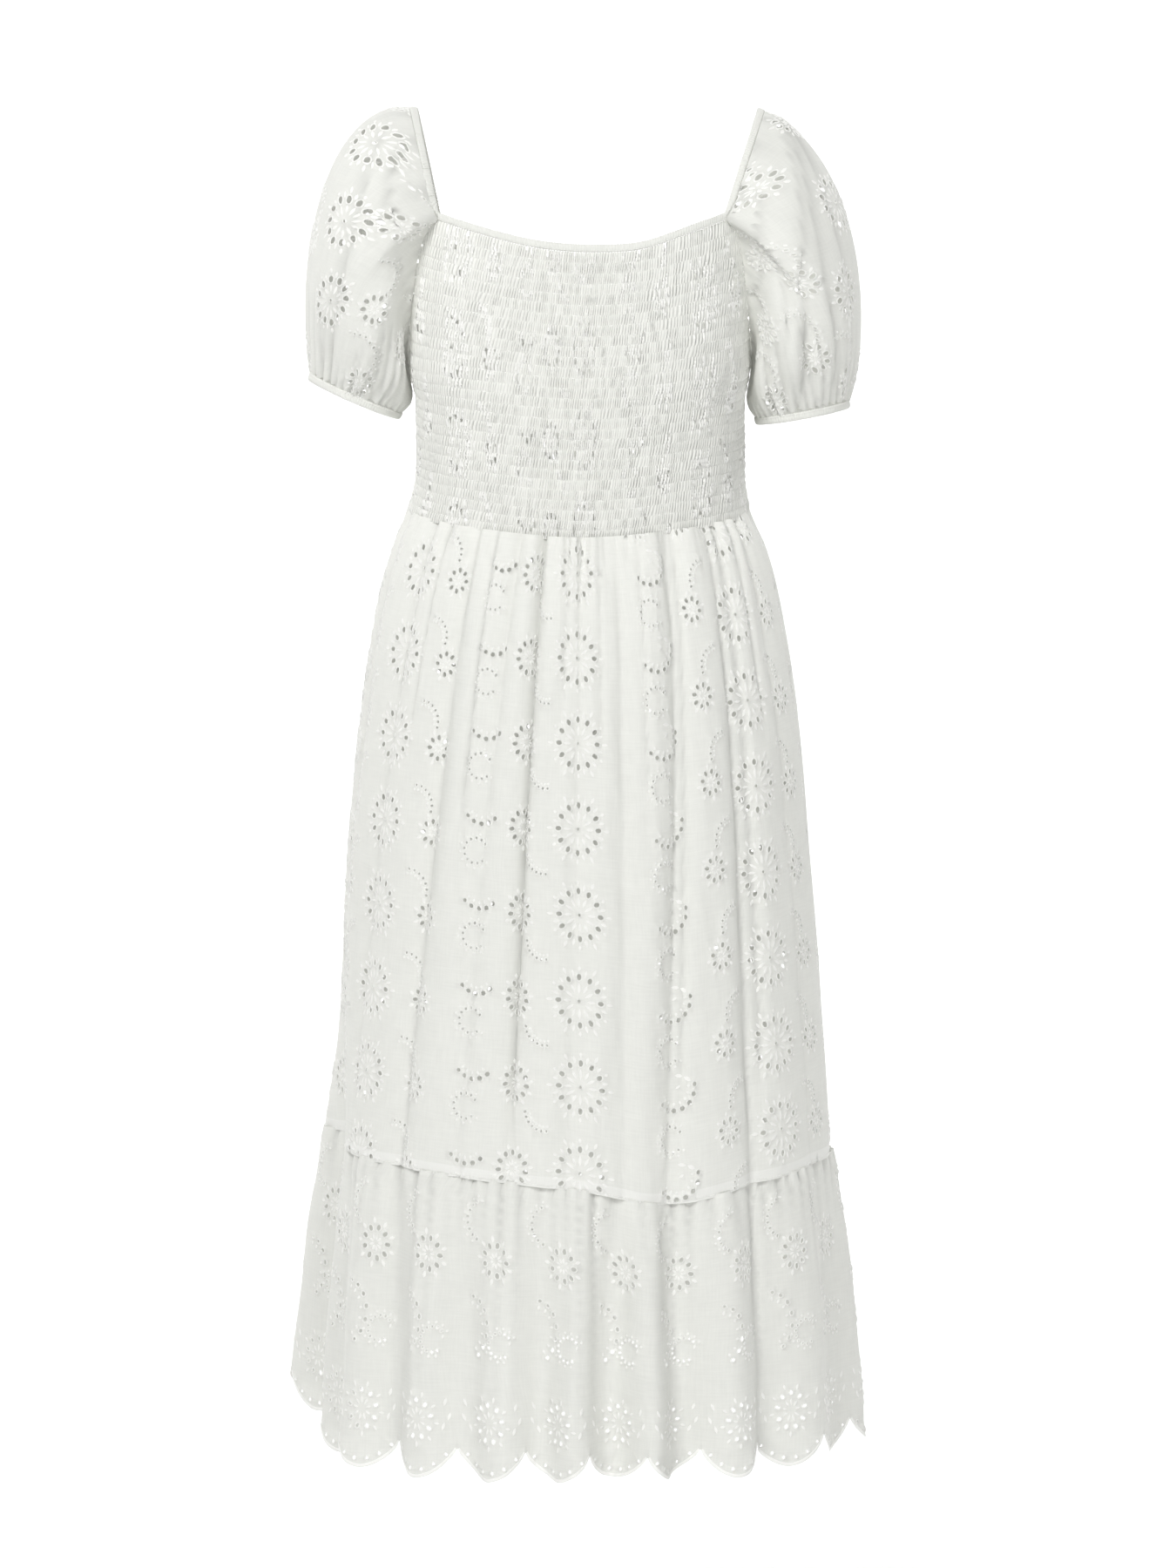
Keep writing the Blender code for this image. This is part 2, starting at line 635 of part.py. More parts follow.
def path_reach(side, node, name):
    """How far the cloth reaches out of its start or back from its end."""
    share = top_share(node)
    reach = path_value(node, name) * (1.0 - share) + SLEEVE_TOPS[side][TOP_COLUMNS.index(name)] * share
    return reach[..., None]


def sleeve_start(side, node, back, towards=None):
    """The sleeve's upper edge: along the shoulder arch for the first nodes, then down the armhole.

    The cloth clears the outer corner of the bodice's edge on its way towards the next row of points."""
    node = np.asarray(node, float)
    direction = leave_direction(side, node, back)
    swing = (-1.0 if back else 1.0) * ARCH_END * np.clip(node / ARCH_NODES, 0.0, 1.0)
    on_arch = arch_point(side, swing) + direction * (CASING_WIDTH + 2.0 * SEAM_GAP)
    up = np.clip((ARCH_NODES + 1 + ARMHOLE_NODES - node) / ARMHOLE_NODES, 0.0, 1.0) * ARMHOLE_TOP
    point, normal, away = bodice_edge(side, back, up)
    if towards is not None:
        direction = unit(towards - point)
    outwards = np.sum(direction * normal, axis=-1, keepdims=True)
    over = -np.sum(direction * away, axis=-1, keepdims=True)
    total = np.maximum(np.hypot(outwards, over), 1e-9)
    clear = CLOTH / 2 + 2.0 * SEAM_GAP
    corner_room = CORNER_ROOM * np.clip((up - 0.55) / 0.3, 0.0, 1.0)[..., None]
    on_armhole = point + away * (clear * outwards / total + corner_room) + normal * (SMOCKED_CLOTH / 2 + clear * over / total)
    share = np.clip(node - ARCH_NODES, 0.0, 1.0)[..., None]
    return on_arch * (1.0 - share) + on_armhole * share


def cuff_frame(hand):
    side, x, z, half_width, tilt, half_depth, back_drop = CUFFS[hand]
    lean = math.radians(tilt)
    centre = np.array([x, 0.0, z])
    out = np.array([side * math.cos(lean), 0.0, math.sin(lean)]) * half_width
    rear = np.array([0.0, -half_depth, -back_drop])
    axis = np.cross(out, rear)
    axis = axis / np.linalg.norm(axis)
    return side, centre, out, rear, axis if axis[2] > 0 else -axis


def sleeve_point(hand, node, down, back):
    """A point of the sleeve: node runs from 0 at the shoulder to 16 under the arm, down from 0 to 1 at the cuff."""
    side, centre, out, rear, axis = cuff_frame(hand)
    node, down = np.broadcast_arrays(np.asarray(node, float), np.asarray(down, float))
    half = SLEEVE_COLUMNS / 2
    turn = np.radians(180.0 * node / half)
    sign = 1.0 if back else -1.0
    radial = np.cos(turn)[..., None] * out + sign * np.sin(turn)[..., None] * rear
    end = centre + radial
    reach_start = leave_direction(side, node, back) * path_reach(side, node, "start")
    reach_end = (BLOUSE_OUT * unit(radial) + BLOUSE_UP * axis) * path_reach(side, node, "end")

    def along(start, t):
        return (
            (1 - t) ** 3 * start
            + 3 * t * (1 - t) ** 2 * (start + reach_start)
            + 3 * t * t * (1 - t) * (end + reach_end)
            + t**3 * end
        )

    rough = sleeve_start(side, node, back)
    start = sleeve_start(side, node, back, along(rough, 1.0 / SLEEVE_ROWS))
    point = along(start, down[..., None])
    swell = np.sin(np.pi * np.clip(down, 0, 1)) ** 0.7 * np.clip((half - node) / 3.0, 0.0, 1.0)
    wave = np.cos(np.pi * SLEEVE_WAVES * node / half) * SLEEVE_WAVE_DEPTH
    return point + unit(radial + 0.3 * (end - start)) * (wave * swell)[..., None]


def sleeve_normal(hand, node, down, back):
    """The way out of the sleeve's cloth, level across the seams over the shoulder and under the arm."""
    step = 0.03
    half = SLEEVE_COLUMNS / 2
    low, high = np.clip(down - step, 0.0, 1.0), np.clip(down + step, 0.0, 1.0)
    along = sleeve_point(hand, node, high, back) - sleeve_point(hand, node, low, back)
    before, after = np.clip(node - 0.05, 0.0, half), np.clip(node + 0.05, 0.0, half)
    around = sleeve_point(hand, after, down, back) - sleeve_point(hand, before, down, back)
    normal = np.cross(around, along) * CUFFS[hand][0] * (1.0 if back else -1.0)
    at_seam = (node <= 0.0) | (node >= half)
    normal[..., 1] = np.where(at_seam, 0.0, normal[..., 1])
    return unit(normal)


def make_sleeve(name, hand, back, flowers, material):
    half = SLEEVE_COLUMNS // 2
    blocks = []
    for first, row in flowers:
        centre = np.array([first + 1.5, row + 0.5])
        nodes, downs = np.array([centre[0] - 1, centre[0] + 1]), np.array([centre[1]] * 2) / SLEEVE_ROWS
        ends = sleeve_point(hand, nodes, downs, back)
        wide = np.linalg.norm(ends[1] - ends[0]) / 2
        ends = sleeve_point(hand, np.array([centre[0]] * 2), np.array([row, row + 1.0]) / SLEEVE_ROWS, back)
        tall = np.linalg.norm(ends[1] - ends[0])
        blocks.append((first, 3, row, eyelets(centre, wide, tall, 4, 30.0, 3)))
    flat, faces = flat_pattern(half, SLEEVE_ROWS, blocks)
    node, down = flat[:, 0], flat[:, 1] / SLEEVE_ROWS
    middle = sleeve_point(hand, node, down, back)
    at_seam = (node <= 0.0) | (node >= half)
    middle[:, 1] = np.where(at_seam, (-1.0 if back else 1.0) * SEAM_GAP / 2, middle[:, 1])
    wall(name, flat, faces, middle, sleeve_normal(hand, node, down, back), CLOTH, material)


def closed_band(name, upper, lower, thickness_way, thickness, material):
    """A closed ring of casing between an upper and a lower edge."""
    half = thickness_way * thickness / 2
    corners = [upper + half, lower + half, lower - half, upper - half]
    count = len(upper)
    faces = []
    for i in range(count):
        j = (i + 1) % count
        for k in range(4):
            a, b = k * count, (k + 1) % 4 * count
            faces += [(a + i, a + j, b + j), (a + i, b + j, b + i)]
    new_object(name, np.concatenate(corners), faces, material)


def make_cuff(name, hand, material):
    side, centre, out, rear, axis = cuff_frame(hand)
    turn = np.radians(np.arange(SLEEVE_COLUMNS) * 360.0 / SLEEVE_COLUMNS)
    radial = np.cos(turn)[:, None] * out + np.sin(turn)[:, None] * rear
    upper = centre + radial - axis * (SEAM_GAP + 0.0004)
    lower = upper - axis * CUFF_WIDTH
    closed_band(name, upper, lower, unit(radial), CASING_THICKNESS, material)


def make_neck_casing(name, material):
    """The elastic casing round the neck: along the back, over one shoulder, along the front and over the other."""
    across = np.linspace(-1.0, 1.0, BODICE_COLUMNS + 1)
    top = ARMHOLE_LEVELS[-1]
    rise = np.array([0.0, 0.0, CASING_WIDTH + SEAM_GAP])
    drop = np.array([0.0, 0.0, -1.0])
    swings = np.linspace(-ARCH_END, ARCH_END, 2 * ARCH_NODES + 1)
    edge, ways = [], []
    for back, side in ((True, 1), (False, -1)):
        panel = bodice_point(back, across, top + 0.0 * across) + rise
        edge.append(panel)
        ways.append(np.repeat(drop[None, :], len(panel), axis=0))
        order = swings if back else -swings
        edge.append(arch_point(side, order))
        nodes = np.abs(order) / ARCH_END * ARCH_NODES
        ways.append(
            np.stack([leave_direction(side, node, swing < 0) for node, swing in zip(nodes, order)])
        )
    edge, ways = np.concatenate(edge), np.concatenate(ways)
    along = unit(np.roll(edge, -1, axis=0) - np.roll(edge, 1, axis=0))
    closed_band(name, edge, edge + ways * CASING_WIDTH, unit(np.cross(along, ways)), CASING_THICKNESS, material)


def cotton(name, colour, roughness):
    material = bpy.data.materials.new(name)
    material.use_nodes = True
    shader = material.node_tree.nodes["Principled BSDF"]
    shader.inputs["Base Color"].default_value = (*colour, 1.0)
    shader.inputs["Roughness"].default_value = roughness
    shader.inputs["Metallic"].default_value = 0.0
    return material


def main():
    for obj in list(bpy.data.objects):
        bpy.data.objects.remove(obj)
    eyelet_cotton = cotton("eyelet_cotton", COTTON, 0.85)
    shirred_cotton = cotton("shirred_cotton", COTTON, 0.9)
    casing_cotton = cotton("casing_cotton", COTTON, 0.8)
    make_bodice("bodice_back", True, shirred_cotton)
    make_bodice("bodice_front", False, shirred_cotton)
    make_neck_casing("neck_casing", casing_cotton)
    for hand in CUFFS:
        make_sleeve(f"sleeve_{hand}_back", hand, True, ((2, 2), (9, 3)), eyelet_cotton)
        make_sleeve(f"sleeve_{hand}_front", hand, False, ((5, 3),), eyelet_cotton)
        make_cuff(f"cuff_{hand}", hand, casing_cotton)
    make_skirt("skirt_back", True, (5, 16, 22, 35), 2, eyelet_cotton)
    make_skirt("skirt_front", False, (9, 22, 34), 4, eyelet_cotton)
    make_flounce("flounce_back", True, eyelet_cotton)
    make_flounce("flounce_front", False, eyelet_cotton)


main()
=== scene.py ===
"""The looks of a midi dress of eyelet-embroidered cotton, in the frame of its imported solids.

Lengths are in metres, unless a name says mm. +Z is up and -Y is the dress's back.
"""
import math

import bmesh
import bpy
import numpy as np
from bpy.props import FloatProperty, FloatVectorProperty, IntProperty, PointerProperty
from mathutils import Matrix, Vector
from mathutils.geometry import delaunay_2d_cdt


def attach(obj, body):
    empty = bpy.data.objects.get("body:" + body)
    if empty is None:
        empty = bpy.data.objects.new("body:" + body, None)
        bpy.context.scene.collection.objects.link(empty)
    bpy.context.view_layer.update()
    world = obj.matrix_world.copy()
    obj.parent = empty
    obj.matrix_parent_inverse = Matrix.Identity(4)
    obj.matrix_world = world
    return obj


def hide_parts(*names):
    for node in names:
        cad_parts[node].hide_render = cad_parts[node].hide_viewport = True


bl_info = {
    "name": "Eyelet Midi Dress",
    "version": (1, 0, 0),
    "blender": (4, 5, 0),
    "location": "View3D > Sidebar > Dress",
    "description": "Models the cloth, embroidery, shirring and stitching of a midi dress",
    "category": "Add Mesh",
}

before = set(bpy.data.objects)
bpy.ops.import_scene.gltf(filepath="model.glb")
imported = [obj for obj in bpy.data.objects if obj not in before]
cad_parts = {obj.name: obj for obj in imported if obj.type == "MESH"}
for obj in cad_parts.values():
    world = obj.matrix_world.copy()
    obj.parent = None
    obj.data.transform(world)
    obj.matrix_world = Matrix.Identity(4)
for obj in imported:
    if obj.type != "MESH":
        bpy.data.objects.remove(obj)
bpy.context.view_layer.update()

# Level, half-widths to the left and right, depths to the back and front, and squareness of the body.
SECTIONS = np.array((
    (-0.095, 0.149, 0.152, 0.100, 0.098, 3.0),
    (-0.160, 0.155, 0.151, 0.106, 0.110, 3.0),
    (-0.226, 0.155, 0.151, 0.111, 0.120, 2.8),
    (-0.262, 0.149, 0.146, 0.112, 0.119, 2.6),
    (-0.320, 0.149, 0.146, 0.112, 0.110, 2.5),
    (-0.356, 0.156, 0.151, 0.114, 0.111, 2.4),
    (-0.391, 0.170, 0.166, 0.124, 0.121, 2.3),
    (-0.438, 0.184, 0.179, 0.136, 0.132, 2.2),
    (-0.533, 0.199, 0.195, 0.152, 0.147, 2.2),
    (-0.627, 0.210, 0.204, 0.163, 0.157, 2.2),
    (-0.816, 0.224, 0.220, 0.178, 0.171, 2.2),
    (-0.935, 0.233, 0.228, 0.186, 0.178, 2.2),
    (-1.005, 0.240, 0.238, 0.191, 0.184, 2.2),
    (-1.123, 0.249, 0.248, 0.199, 0.192, 2.2),
    (-1.215, 0.254, 0.254, 0.204, 0.197, 2.2),
))
LEVEL, LEFT, RIGHT, BACK, FRONT, SQUARE = range(6)

WAIST_Z = -0.356
NECK_DIP = 0.034
WAIST_DIP = 0.036
FRONT_NECK_DROP = 0.012
FRONT_WAIST_DIP = 0.012
DIP_POWER = 1.8
HEM_Z = -1.179
FRONT_HEM_RISE = 0.036
FRONT_RISE = (80.0, 115.0)
CASING_WIDTH = 0.007
SEAM_GAP = 0.0003

# Level and angle of the armhole's edge, from the underarm up to the neck corner.
ARMHOLE = np.array((
    (-0.2260, 90.0),
    (-0.2215, 84.5),
    (-0.2120, 79.0),
    (-0.1960, 74.0),
    (-0.1700, 69.5),
    (-0.1400, 66.2),
    (-0.1240, 62.6),
    (-0.1163, 58.5),
))

# Angle and level of the seam between skirt and flounce.
FLOUNCE_SEAM = np.array((
    (-180.0, -0.944),
    (-135.0, -0.938),
    (-90.0, -0.926),
    (-60.0, -0.932),
    (-30.0, -0.941),
    (0.0, -0.950),
    (22.0, -0.963),
    (45.0, -0.950),
    (70.0, -0.940),
    (90.0, -0.936),
    (135.0, -0.940),
    (180.0, -0.944),
))

# Troughs of the skirt: angle at the waist and at the flounce, half-width, and depths going down.
FOLDS = (
    (-78.0, -86.0, 5.5, 0.003, 0.007, 0.006),
    (-59.0, -66.0, 5.0, 0.006, 0.005, 0.003),
    (-41.0, -49.0, 4.6, 0.006, 0.009, 0.006),
    (-25.0, -33.0, 4.2, 0.005, 0.004, 0.003),
    (-15.0, -20.0, 3.4, 0.006, 0.006, 0.005),
    (0.0, -4.0, 3.6, 0.005, 0.004, 0.003),
    (14.0, 11.0, 4.2, 0.006, 0.005, 0.004),
    (34.0, 23.0, 4.8, 0.006, 0.009, 0.009),
    (50.0, 46.0, 4.4, 0.006, 0.009, 0.008),
    (66.0, 66.0, 4.6, 0.005, 0.004, 0.003),
    (82.0, 86.0, 5.0, 0.004, 0.006, 0.006),
    (103.0, 106.0, 5.0, 0.005, 0.007, 0.008),
    (122.0, 127.0, 4.6, 0.006, 0.006, 0.004),
    (139.0, 146.0, 4.4, 0.006, 0.008, 0.008),
    (156.0, 160.0, 4.0, 0.005, 0.005, 0.004),
    (174.0, 177.0, 4.2, 0.006, 0.006, 0.006),
    (-167.0, -165.0, 4.0, 0.005, 0.004, 0.004),
    (-150.0, -148.0, 4.6, 0.006, 0.008, 0.009),
    (-132.0, -134.0, 4.4, 0.006, 0.005, 0.004),
    (-113.0, -114.0, 5.0, 0.005, 0.004, 0.002),
)
# Pressed-in creases that run down from the waist: angle there, angle lower down, how far down, depth, width.
CREASES = (
    (-15.5, -19.5, 0.99, 0.0050, 0.85),
    (-33.0, -39.0, 0.55, 0.0040, 0.90),
    (-52.0, -58.0, 0.42, 0.0035, 1.00),
    (-5.0, -9.0, 0.38, 0.0035, 0.90),
    (7.0, 4.5, 0.45, 0.0035, 0.90),
    (22.0, 17.5, 0.50, 0.0035, 0.90),
    (36.5, 25.5, 0.97, 0.0040, 1.00),
    (54.0, 49.5, 0.95, 0.0045, 1.10),
    (60.0, 57.0, 0.40, 0.0035, 0.90),
    (112.0, 116.0, 0.60, 0.0040, 1.00),
    (131.0, 136.0, 0.80, 0.0040, 1.00),
    (148.0, 153.0, 0.50, 0.0040, 0.90),
    (166.0, 169.0, 0.90, 0.0045, 0.90),
    (-176.0, -173.0, 0.45, 0.0035, 0.90),
    (-158.0, -156.0, 0.75, 0.0040, 1.00),
    (-140.0, -141.0, 0.50, 0.0035, 0.90),
    (-121.0, -124.0, 0.65, 0.0040, 1.00),
)
SHORT_CREASES = 52
FLOUNCE_WAVES = 18
WAVE_DEPTH_AT_SEAM = 0.0024
WAVE_DEPTH_AT_HEM = 0.0115
LEFT_LOBE = (-108.0, 14.0, 0.027)
LEFT_TUCK = (-85.0, 10.5, 0.036)
LEFT_FOLD_START = 0.55

# Long folds of each sleeve: node at its top, middle and cuff, start and end down the sleeve, depth, width.
SLEEVE_FOLDS = {
    "left": (
        (1.2, 4.0, 4.9, 0.10, 1.0, 0.0070, 0.60),
        (2.3, 5.2, 6.0, 0.02, 0.38, 0.0055, 0.40),
        (1.0, 2.4, 2.6, 0.70, 1.0, 0.0040, 0.35),
        (0.2, 1.0, 1.2, 0.72, 1.0, 0.0040, 0.35),
        (8.0, 8.6, 9.6, 0.55, 1.0, 0.0050, 0.45),
        (9.5, 9.6, 10.6, 0.45, 1.0, 0.0055, 0.45),
        (10.8, 10.8, 11.6, 0.40, 1.0, 0.0050, 0.40),
        (12.0, 11.8, 12.6, 0.40, 1.0, 0.0050, 0.40),
        (5.8, 6.8, 7.4, 0.78, 1.0, 0.0035, 0.35),
        (3.0, 3.4, 3.7, 0.80, 1.0, 0.0030, 0.30),
    ),
    "right": (
        (0.9, 5.0, 8.6, 0.04, 1.0, 0.0085, 0.60),
        (0.5, 3.7, 4.6, 0.05, 1.0, 0.0075, 0.45),
        (0.6, 2.2, 2.2, 0.05, 1.0, 0.0060, 0.40),
        (3.0, 7.5, 10.4, 0.10, 0.70, 0.0055, 0.45),
        (4.6, 5.6, 5.6, 0.66, 1.0, 0.0045, 0.30),
        (6.0, 7.0, 6.9, 0.60, 1.0, 0.0045, 0.35),
        (9.0, 9.4, 9.8, 0.58, 1.0, 0.0050, 0.40),
        (11.0, 11.0, 11.4, 0.5, 1.0, 0.0050, 0.40),
        (1.4, 3.1, 3.3, 0.75, 1.0, 0.0040, 0.30),
    ),
}
# Tuck that runs beside each armhole: node, and how far down the sleeve it lies.
ARM_TUCKS = {
    "left": ((2.4, 3.0, 4.3, 6.6, 9.0, 10.5), (0.08, 0.15, 0.23, 0.25, 0.14, 0.05)),
    "right": ((3.4, 4.5, 6.0, 8.1, 10.0, 11.0), (0.06, 0.16, 0.20, 0.20, 0.10, 0.05)),
}
# Node, and how long the sleeve's cloth is there.
SLEEVE_LENGTHS = ((0.0, 4.0, 8.0, 12.0, 16.0), (0.282, 0.237, 0.164, 0.097, 0.049))
# Kind of motif, and how far across the flat sleeve and up from its cuff it lies, in millimetres.
SLEEVE_MOTIFS = {
    "left": (
        ("rosette", 0.0, 8.0),
        ("rosette", 87.0, 76.0),
        ("rosette", 70.0, 148.0),
        ("rosette", 48.0, 221.0),
        ("flower", 134.0, 85.0),
        ("flower", 144.0, 14.0),
        ("flower", 102.0, 166.0),
        ("flower", 190.0, 60.0),
        ("flower", 20.0, 120.0),
        ("flower", 12.0, 276.0),
    ),
    "right": (
        ("rosette", 0.0, 20.0),
        ("rosette", 56.0, 100.0),
        ("rosette", 30.0, 178.0),
        ("flower", 176.0, 15.0),
        ("flower", 168.0, 82.0),
        ("flower", 123.0, 152.0),
        ("flower", 78.0, 224.0),
        ("flower", 118.0, 48.0),
        ("flower", 102.0, 122.0),
        ("flower", 66.0, 20.0),
        ("flower", 20.0, 262.0),
    ),
}
ARCH_NODES = 4
ARCH_END = 0.93
ARMHOLE_NODES = 11
HALF_SLEEVE = 16
# Side, then x, z, half-width, tilt, half-depth and back drop of each cuff.
CUFFS = {
    "left": (-1, -0.2035, -0.2535, 0.0445, 23.6, 0.043, 0.006),
    "right": (1, 0.1985, -0.2680, 0.0425, 10.5, 0.042, 0.006),
}
# Shoulder's x, reach out, lift and reach back from the cuff at the top of each sleeve.
SLEEVE_TOPS = {-1: (0.1475, 0.086, 0.10, 0.068), 1: (0.1580, 0.104, -0.40, 0.046)}
TOP_FADES_BY = 8.0
# Node, the way out, back and up, and the reaches at start and end of the sleeve's cloth.
SLEEVE_PATHS = np.array((
    (0, 1.00, 0.00, 0.00, 0.074, 0.092),
    (4, 0.80, 0.55, -0.05, 0.058, 0.092),
    (5, 0.72, 0.62, -0.30, 0.048, 0.090),
    (8, 0.64, 0.62, -0.46, 0.044, 0.078),
    (12, 0.66, 0.42, -0.62, 0.028, 0.048),
    (16, 0.30, 0.00, -0.95, 0.016, 0.018),
))
BLOUSE_OUT = 0.58
BLOUSE_UP = 0.81

# How far down one row of puffs each line of points lies, from its elastic.
PUFF_STEPS = np.array((0.0, 0.045, 0.34, 0.66, 0.955))
POINTS_PER_GATHER = 4
# Width of a bodice panel as worn, and half of its flat width under the embroidery.
BODICE_GATHERED = 0.430
BODICE_HALF_FLAT = 0.40
REPEAT_WIDTH_MM = 445.0
REPEAT_HEIGHT_MM = 77.0
REPEAT_STEP_MM = 38.5
REPEAT_ROWS = range(-9, 12)
REPEAT_COLUMNS = range(-2, 3)
# Line through the middle of one row of motifs, which the repeat's upper and lower edges follow.
ROW_MIDDLE = np.array((
    (-263.0, -7.5),
    (-245.0, 5.0),
    (-228.0, 12.0),
    (-212.0, 12.0),
    (-183.0, 8.0),
    (-166.0, 6.0),
    (-130.0, 11.0),
    (-96.0, 16.0),
    (-50.0, 14.0),
    (-35.0, 13.0),
    (-14.0, 10.8),
    (0.0, 4.0),
    (25.0, 2.0),
    (70.0, 10.0),
    (88.0, 15.0),
    (118.0, 17.5),
    (146.0, 24.0),
    (182.0, 31.0),
))
SKIRT_MM = 585.0
# Where the main rosette of each skirt panel lies from the panel's top left corner.
SKIRT_SHIFTS_MM = {"skirt_back": (354.0, 30.0), "skirt_front": (320.0, 30.0)}
SLEEVE_MM = 250.0
FLOUNCE_MM = 228.0
VALLEY_MM = 223.0
SCALLOP_DROP_MM = 23.0
MM = 0.001
# Reach of a panel's table of angles, which runs on below the valleys of the scallops.
TABLE_REACH = 1.08
# A distance that no cloth reaches, for cloth that is nowhere doubled.
NOT_DOUBLED = 9.0
THREAD_RADIUS = 0.00022
STITCH_SEED = 4
# Takes the level part of a vector.
LEVEL_PART = np.array([1.0, 1.0, 0.0])

FLOOR_Z = -1.50
EYE = (0.0055, -3.0, -0.4935)
AIM = (0.0055, 0.0, -0.6080)
HALF_VIEW = 0.7115
SENSOR_HEIGHT = 36.0
# Name, place, aim, size and power of each light.
LIGHTS = (
    ("key", (-1.3, -3.0, 2.2), (0.0, 0.0, -0.6), 1.6, 107.0),
    ("fill", (1.6, -3.6, -0.2), (0.0, 0.0, -0.6), 2.2, 33.0),
    ("backdrop_left", (-2.6, 1.6, 1.8), (-0.6, 4.2, -0.6), 2.0, 103.0),
    ("backdrop_right", (2.6, 1.6, 1.8), (0.6, 4.2, -0.6), 2.0, 103.0),
)


class DressSizes(bpy.types.PropertyGroup):
    """Sizes of the cloth and its decoration."""

    shirring_rows: IntProperty(
        name="Shirring rows", description="Rows of puffs down the bodice", default=28, min=8, max=60
    )
    gather_pitch: FloatProperty(
        name="Gather pitch", description="Width of one small gather of the shirring",
        default=0.0024, unit="LENGTH",
    )
    puff_height: FloatProperty(
        name="Puff height", description="How far the shirred cloth stands out between elastic lines",
        default=0.0006, unit="LENGTH",
    )
    skirt_cloth: FloatProperty(
        name="Skirt cloth", description="Flat width of one skirt panel", default=0.72, unit="LENGTH"
    )
    scallops: IntProperty(
        name="Scallops", description="Scallops along one flounce panel", default=12, min=4, max=30
    )
    scallop_pitch: FloatProperty(
        name="Scallop pitch", description="Flat width of one scallop", default=0.065, unit="LENGTH"
    )
    stitch_relief: FloatProperty(
        name="Stitch relief", description="How far satin stitching stands off the cloth",
        default=0.0008, unit="LENGTH",
    )
    stitch_length: FloatProperty(
        name="Stitch length", description="Pitch of the seam stitches", default=0.0028, unit="LENGTH"
    )


class DressColours(bpy.types.PropertyGroup):
    """Colours of the cloth, its threads and the stage."""

    cotton: FloatVectorProperty(
        name="Cotton", description="Colour of the cotton lawn",
        subtype="COLOR", default=(0.80, 0.805, 0.765),
    )
    thread: FloatVectorProperty(
        name="Thread", description="Colour of the embroidery thread",
        subtype="COLOR", default=(0.99, 0.99, 0.96),
    )
    floor: FloatVectorProperty(
        name="Floor", description="Colour of the floor and backdrop",
        subtype="COLOR", default=(0.92, 0.92, 0.92),
    )


def sizes():
    return bpy.context.scene.dress_sizes


def colours():
    return bpy.context.scene.dress_colours


def smooth_through(x, xs, ys):
    """A smooth curve through the table's points, with no overshoot between them."""
    order = np.argsort(xs)
    xs, ys = np.asarray(xs, float)[order], np.asarray(ys, float)[order]
    x = np.clip(np.asarray(x, float), xs[0], xs[-1])
    slopes = np.diff(ys) / np.diff(xs)
    before, after = slopes[:-1], slopes[1:]
    same_way = before * after > 0
    total = np.where(same_way, before + after, 1.0)
    inner = np.where(same_way, 2.0 * before * after / total, 0.0)
    tangents = np.concatenate([slopes[:1], inner, slopes[-1:]])
    i = np.clip(np.searchsorted(xs, x, side="right") - 1, 0, len(xs) - 2)
    step = xs[i + 1] - xs[i]
    t = (x - xs[i]) / step
    return (
        (1 + 2 * t) * (1 - t) ** 2 * ys[i]
        + t * (1 - t) ** 2 * step * tangents[i]
        + t * t * (3 - 2 * t) * ys[i + 1]
        + t * t * (t - 1) * step * tangents[i + 1]
    )


def unit(vectors):
    return vectors / np.maximum(np.linalg.norm(vectors, axis=-1, keepdims=True), 1e-12)


def wrapped(angle):
    return (np.asarray(angle, float) + 180.0) % 360.0 - 180.0


def eased(share):
    """A share from 0 to 1, with a soft start and end."""
    return share * share * (3.0 - 2.0 * share)


def running_total(steps):
    return np.concatenate([[0.0], np.cumsum(steps)])


def step_lengths(line):
    return np.linalg.norm(np.diff(line, axis=0), axis=1)


def loop_length(line):
    return np.linalg.norm(np.roll(line, -1, axis=0) - line, axis=1).sum()


def smooth_noise(x, y, seed):
    """Soft uneven values between about -1 and 1, from a few crossed waves."""
    random_waves = np.random.default_rng(seed)
    total = np.zeros(np.broadcast(x, y).shape)
    for size in (1.0, 0.5):
        for _ in range(4):
            a, b, c = random_waves.uniform(-1, 1), random_waves.uniform(-1, 1), random_waves.uniform(0, 6.28)
            total = total + size * np.sin((a * x + b * y) * 6.28 / size + c)
    return total / 4.0


def hashed(i, j, seed):
    """A repeatable value between 0 and 1 for each pair of whole numbers."""
    value = np.sin(np.asarray(i) * 12.9898 + np.asarray(j) * 78.233 + seed * 37.719) * 43758.5453
    return value - np.floor(value)


def section(level, which):
    return smooth_through(level, SECTIONS[:, LEVEL], SECTIONS[:, which])


def body_radius(angle, level):
    """The body's distance from its axis, before any fold."""
    turn = np.radians(angle)
    across, along = np.sin(turn), np.cos(turn)
    wide = np.where(across < 0, section(level, LEFT), section(level, RIGHT))
    deep = np.where(along > 0, section(level, BACK), section(level, FRONT))
    power = section(level, SQUARE)
    return (np.abs(across / wide) ** power + np.abs(along / deep) ** power) ** (-1.0 / power)


def ring_point(angle, radius, level):
    turn = np.radians(angle)
    return np.stack([radius * np.sin(turn), -radius * np.cos(turn), level + 0.0 * turn], axis=-1)


def dip_share(reach):
    return 1.0 - np.minimum(np.abs(reach), 1.0) ** DIP_POWER


def waist_level(angle):
    angle = wrapped(angle)
    back = np.abs(angle) <= 90.0
    reach = np.where(back, angle, wrapped(angle + 180.0)) / 90.0
    return WAIST_Z - np.where(back, WAIST_DIP, FRONT_WAIST_DIP) * dip_share(reach)


def flounce_seam_level(angle):
    return smooth_through(wrapped(angle), FLOUNCE_SEAM[:, 0], FLOUNCE_SEAM[:, 1])


